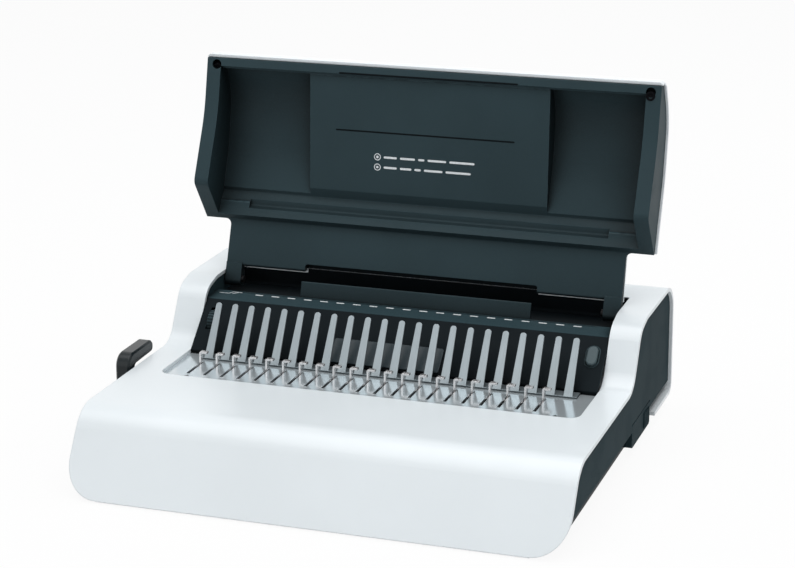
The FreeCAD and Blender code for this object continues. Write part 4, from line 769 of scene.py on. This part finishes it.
class BINDER_OT_lid_bumpers(bpy.types.Operator):
    """Rubber bumpers in the upper corners of the lid"""
    bl_idname = "binder.lid_bumpers"
    bl_label = "Lid Bumpers"

    def execute(self, context):
        radius = context.scene.binder_sizes.bumper_radius
        low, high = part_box("lid_liner")
        profile = [(radius * share, height) for share, height in BUMPER_PROFILE]
        z = high.z - BUMPER_INSET
        sunk = Matrix.Translation((0, 0, -BUMPER_SUNK))
        bm = bmesh.new()
        for x in (low.x + BUMPER_INSET, high.x - BUMPER_INSET):
            place = landing("lid_liner", (x + BESIDE_HOLE, low.y - FAR_OFF, z), BACKWARD)
            middle = Vector((x, place.translation.y, z))
            shift = Matrix.Translation(middle - place.translation)
            add_lathe(bm, profile, shift @ place @ sunk, steps=28, closed=False)
        finish_piece("lid_bumpers", bm, "foot_rubber", "lid", "bumper_rubber")
        return {"FINISHED"}


# The cover's lower edge: the notch over the sheet support and its height, and the hinge lugs.
NOTCH_BESIDE_SUPPORT = 0.0015
NOTCH_ABOVE_PINS = 0.013
LUG_INSIDE_PINS = 0.035
# The hem: how far up it reaches over the notch and beside it, and the gap between its strips.
HEM_OVER_NOTCH = 0.0046
HEM_BESIDE_NOTCH = 0.0030
HEM_GAP = 0.0003
# Lines that find the cover's wall pass just above its edge, from well in front or behind.
ABOVE_EDGE = 0.0002
IN_FRONT_Y = -0.3
BEHIND_Y = 0.5


class BINDER_OT_lid_hem(bpy.types.Operator):
    """Dark hem round the lower edge of the lid's cover, over the sheet support and beside it"""
    bl_idname = "binder.lid_hem"
    bl_label = "Lid Hem"

    def execute(self, context):
        thick = context.scene.binder_sizes.hem_thickness
        pin_low, pin_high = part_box("lid_pins")
        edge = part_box("lid_outer_cover")[0].z
        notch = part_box("paper_support")[1].x + NOTCH_BESIDE_SUPPORT
        notch_edge = (pin_low.z + pin_high.z) / 2 + NOTCH_ABOVE_PINS
        lug = pin_high.x - LUG_INSIDE_PINS
        bm = bmesh.new()
        self.add_strip(bm, -notch, notch, notch_edge, notch_edge + HEM_OVER_NOTCH, thick)
        for left, right in ((-lug, -notch - HEM_GAP), (notch + HEM_GAP, lug)):
            self.add_strip(bm, left, right, edge, edge + HEM_BESIDE_NOTCH, thick)
        finish_piece("lid_hem", bm, "charcoal_plastic", "lid", "trough_black")
        return {"FINISHED"}

    def add_strip(self, bm, left, right, edge, top, thick):
        """An L-shaped strip from the cover's inner face round under its edge."""
        middle = (left + right) / 2

        def wall_y(start_y, z, direction):
            return landing("lid_outer_cover", (middle, start_y, z), direction).translation.y

        inner = wall_y(IN_FRONT_Y, edge + ABOVE_EDGE, BACKWARD)
        upper = wall_y(IN_FRONT_Y, top, BACKWARD)
        outer = wall_y(BEHIND_Y, edge + ABOVE_EDGE, FORWARD)
        section = [(upper - thick, top), (inner - thick, edge - thick), (outer, edge - thick),
                   (outer, edge), (inner, edge), (upper, top)]
        ends = [[bm.verts.new((x, y, z)) for y, z in section] for x in (left, right)]
        join_rings(bm, ends[0], ends[1])
        bm.faces.new(ends[0])
        bm.faces.new(reversed(ends[1]))


# Arrowheads on the deck: their place along it in pitches of the comb, and their outline.
ARROWS_APART = RING_COUNT + 0.1
ARROWS_FROM_FRONT = 0.0125
ARROWHEAD = ((-0.0030, -0.0022), (0.0030, -0.0022), (0.0, 0.0030))


class BINDER_OT_deck_marks(bpy.types.Operator):
    """Arrowheads stamped at both ends of the deck plate"""
    bl_idname = "binder.deck_marks"
    bl_label = "Deck Marks"

    def execute(self, context):
        rise = context.scene.binder_sizes.mark_rise
        low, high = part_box("comb_deck")
        bm = bmesh.new()
        for side in (-1, 1):
            x = MIDDLE_X + side * ARROWS_APART / 2 * PITCH
            start = (x, low.y + ARROWS_FROM_FRONT, high.z + CLOSE_OFF)
            add_plate(bm, ARROWHEAD, landing("comb_deck", start, DOWNWARD), rise)
        finish_piece("deck_marks", bm, "black_plastic", "machine")
        return {"FINISHED"}


# Marks on the rocker: their distance from its middle, and the sizes of the line and the ring.
SWITCH_MARK_OFFSET = 0.0022
SWITCH_LINE_HALF_LENGTH = 0.0013
SWITCH_LINE_HALF_WIDTH = 0.00022
SWITCH_RING_RADIUS = 0.0010
SWITCH_RING_WIRE = 0.0004


class BINDER_OT_switch_marks(bpy.types.Operator):
    """Line and ring on the two halves of the mains rocker"""
    bl_idname = "binder.switch_marks"
    bl_label = "Switch Marks"

    def execute(self, context):
        rise = context.scene.binder_sizes.mark_rise / 2
        low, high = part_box("switch_rocker")
        x = (low.x + high.x) / 2
        middle = (low.z + high.z) / 2

        def on_rocker(z):
            return landing("switch_rocker", (x, high.y + CLOSE_OFF, z), FORWARD)

        bm = bmesh.new()
        line = capsule(SWITCH_LINE_HALF_LENGTH, SWITCH_LINE_HALF_WIDTH)
        add_plate(bm, line, on_rocker(middle - SWITCH_MARK_OFFSET) @ UPRIGHT, rise)
        ring = round_wire(SWITCH_RING_RADIUS, SWITCH_RING_WIRE, rise)
        add_lathe(bm, ring, on_rocker(middle + SWITCH_MARK_OFFSET), steps=20)
        finish_piece("switch_marks", bm, "light_plastic", "rocker", "ink")
        return {"FINISHED"}


FLOOR_REACH = 6.0
# Just under the feet, so that the floor and their soles don't share a plane.
FLOOR_HEIGHT = -0.0002
# How far the background's rays see plain white in place of the lit floor; the rest is its shadow.
FLOOR_GLOW = 0.93
SKY_STRENGTH = 0.42
WHITE = (1.0, 1.0, 1.0, 1.0)

# Round lamps: name, place, diameter and power in watts. All of them look at the machine's middle.
LAMPS = (
    ("key", (0.05, -0.22, 1.80), 2.2, 25.5),
    ("fill", (-0.80, -1.20, 0.50), 0.9, 1.0),
    ("back", (0.5, 1.5, 1.6), 1.0, 7.0),
)
LAMP_TARGET = Vector((0, 0, 0.12))

CAMERA_PLACE = (0.56185, -1.6326, 0.6481)
CAMERA_DOWN = math.radians(16.50)
CAMERA_TURN = math.radians(18.37)
CAMERA_LENS = 104.2
CAMERA_SENSOR = 36.0


class BINDER_OT_stage(bpy.types.Operator):
    """Pale floor, soft studio light and the camera"""
    bl_idname = "binder.stage"
    bl_label = "Stage"

    def execute(self, context):
        scene = context.scene
        scene.view_settings.view_transform = "Standard"
        self.add_floor(scene)
        self.add_world(scene)
        self.add_lamps(scene)
        self.add_camera(scene)
        return {"FINISHED"}

    def add_floor(self, scene):
        bm = bmesh.new()
        bmesh.ops.create_grid(bm, x_segments=2, y_segments=2, size=FLOOR_REACH)
        mesh = bpy.data.meshes.new("floor")
        bm.to_mesh(mesh)
        bm.free()
        floor = bpy.data.objects.new("floor", mesh)
        floor.location.z = FLOOR_HEIGHT
        scene.collection.objects.link(floor)
        made = Finish("floor_white", Roughness=0.9, Base_Color=(0.85, 0.85, 0.85, 1.0))
        glow = made.add("ShaderNodeEmission", {}, {"Color": WHITE, "Strength": 1.0})
        share = made.background_rays() * FLOOR_GLOW
        blend = made.add("ShaderNodeMixShader", {}, {0: share, 1: made.surface, 2: glow})
        made.tree.links.new(blend.socket, made.output.inputs["Surface"])
        mesh.materials.append(made.material)

    def add_world(self, scene):
        world = bpy.data.worlds.new("studio")
        scene.world = world
        sky = NodeSheet(world)
        plain = sky.add("ShaderNodeBackground", {},
                        {"Color": (0.96, 0.98, 1.0, 1.0), "Strength": SKY_STRENGTH})
        white = sky.add("ShaderNodeBackground", {}, {"Color": WHITE, "Strength": 1.0})
        both = sky.add("ShaderNodeMixShader", {}, {0: sky.background_rays(), 1: plain, 2: white})
        sky.add("ShaderNodeOutputWorld", {}, {"Surface": both})

    def add_lamps(self, scene):
        for name, place, size, power in LAMPS:
            lamp = bpy.data.lights.new(name, "AREA")
            lamp.shape = "DISK"
            lamp.size = size
            lamp.energy = power
            holder = bpy.data.objects.new(name, lamp)
            holder.location = place
            aim = LAMP_TARGET - Vector(place)
            holder.rotation_euler = aim.to_track_quat("-Z", "Y").to_euler()
            scene.collection.objects.link(holder)

    def add_camera(self, scene):
        lens = bpy.data.cameras.new("camera")
        lens.lens = CAMERA_LENS
        lens.sensor_width = CAMERA_SENSOR
        lens.clip_start = 0.05
        lens.clip_end = 50.0
        holder = bpy.data.objects.new("camera", lens)
        holder.location = CAMERA_PLACE
        holder.rotation_euler = (math.pi / 2 - CAMERA_DOWN, 0.0, CAMERA_TURN)
        scene.collection.objects.link(holder)
        scene.camera = holder


STEPS = (
    BINDER_OT_dress_frame,
    BINDER_OT_shelf_marks,
    BINDER_OT_button_rim,
    BINDER_OT_lid_marks,
    BINDER_OT_lid_bumpers,
    BINDER_OT_lid_hem,
    BINDER_OT_deck_marks,
    BINDER_OT_switch_marks,
    BINDER_OT_stage,
)


class BINDER_PT_panel(bpy.types.Panel):
    """Lists the steps that dress the machine, and its sizes and colours"""
    bl_label = "Comb Binding Machine"
    bl_idname = "BINDER_PT_panel"
    bl_space_type = "VIEW_3D"
    bl_region_type = "UI"
    bl_category = "Binder"

    def draw(self, context):
        layout = self.layout
        for step in STEPS:
            layout.operator(step.bl_idname)
        for group in (context.scene.binder_sizes, context.scene.binder_colours):
            for name in group.bl_rna.properties.keys():
                if name not in ("name", "rna_type"):
                    layout.prop(group, name)


CLASSES = (BINDER_PG_sizes, BINDER_PG_colours) + STEPS + (BINDER_PT_panel,)


def register():
    for cls in CLASSES:
        bpy.utils.register_class(cls)
    bpy.types.Scene.binder_sizes = PointerProperty(type=BINDER_PG_sizes)
    bpy.types.Scene.binder_colours = PointerProperty(type=BINDER_PG_colours)


def unregister():
    del bpy.types.Scene.binder_sizes
    del bpy.types.Scene.binder_colours
    for cls in reversed(CLASSES):
        bpy.utils.unregister_class(cls)


def main():
    register()
    bpy.ops.binder.dress_frame()
    bpy.ops.binder.shelf_marks()
    bpy.ops.binder.button_rim()
    bpy.ops.binder.lid_marks()
    bpy.ops.binder.lid_bumpers()
    bpy.ops.binder.lid_hem()
    bpy.ops.binder.deck_marks()
    bpy.ops.binder.switch_marks()
    bpy.ops.binder.stage()


if __name__ == "__main__":
    main()
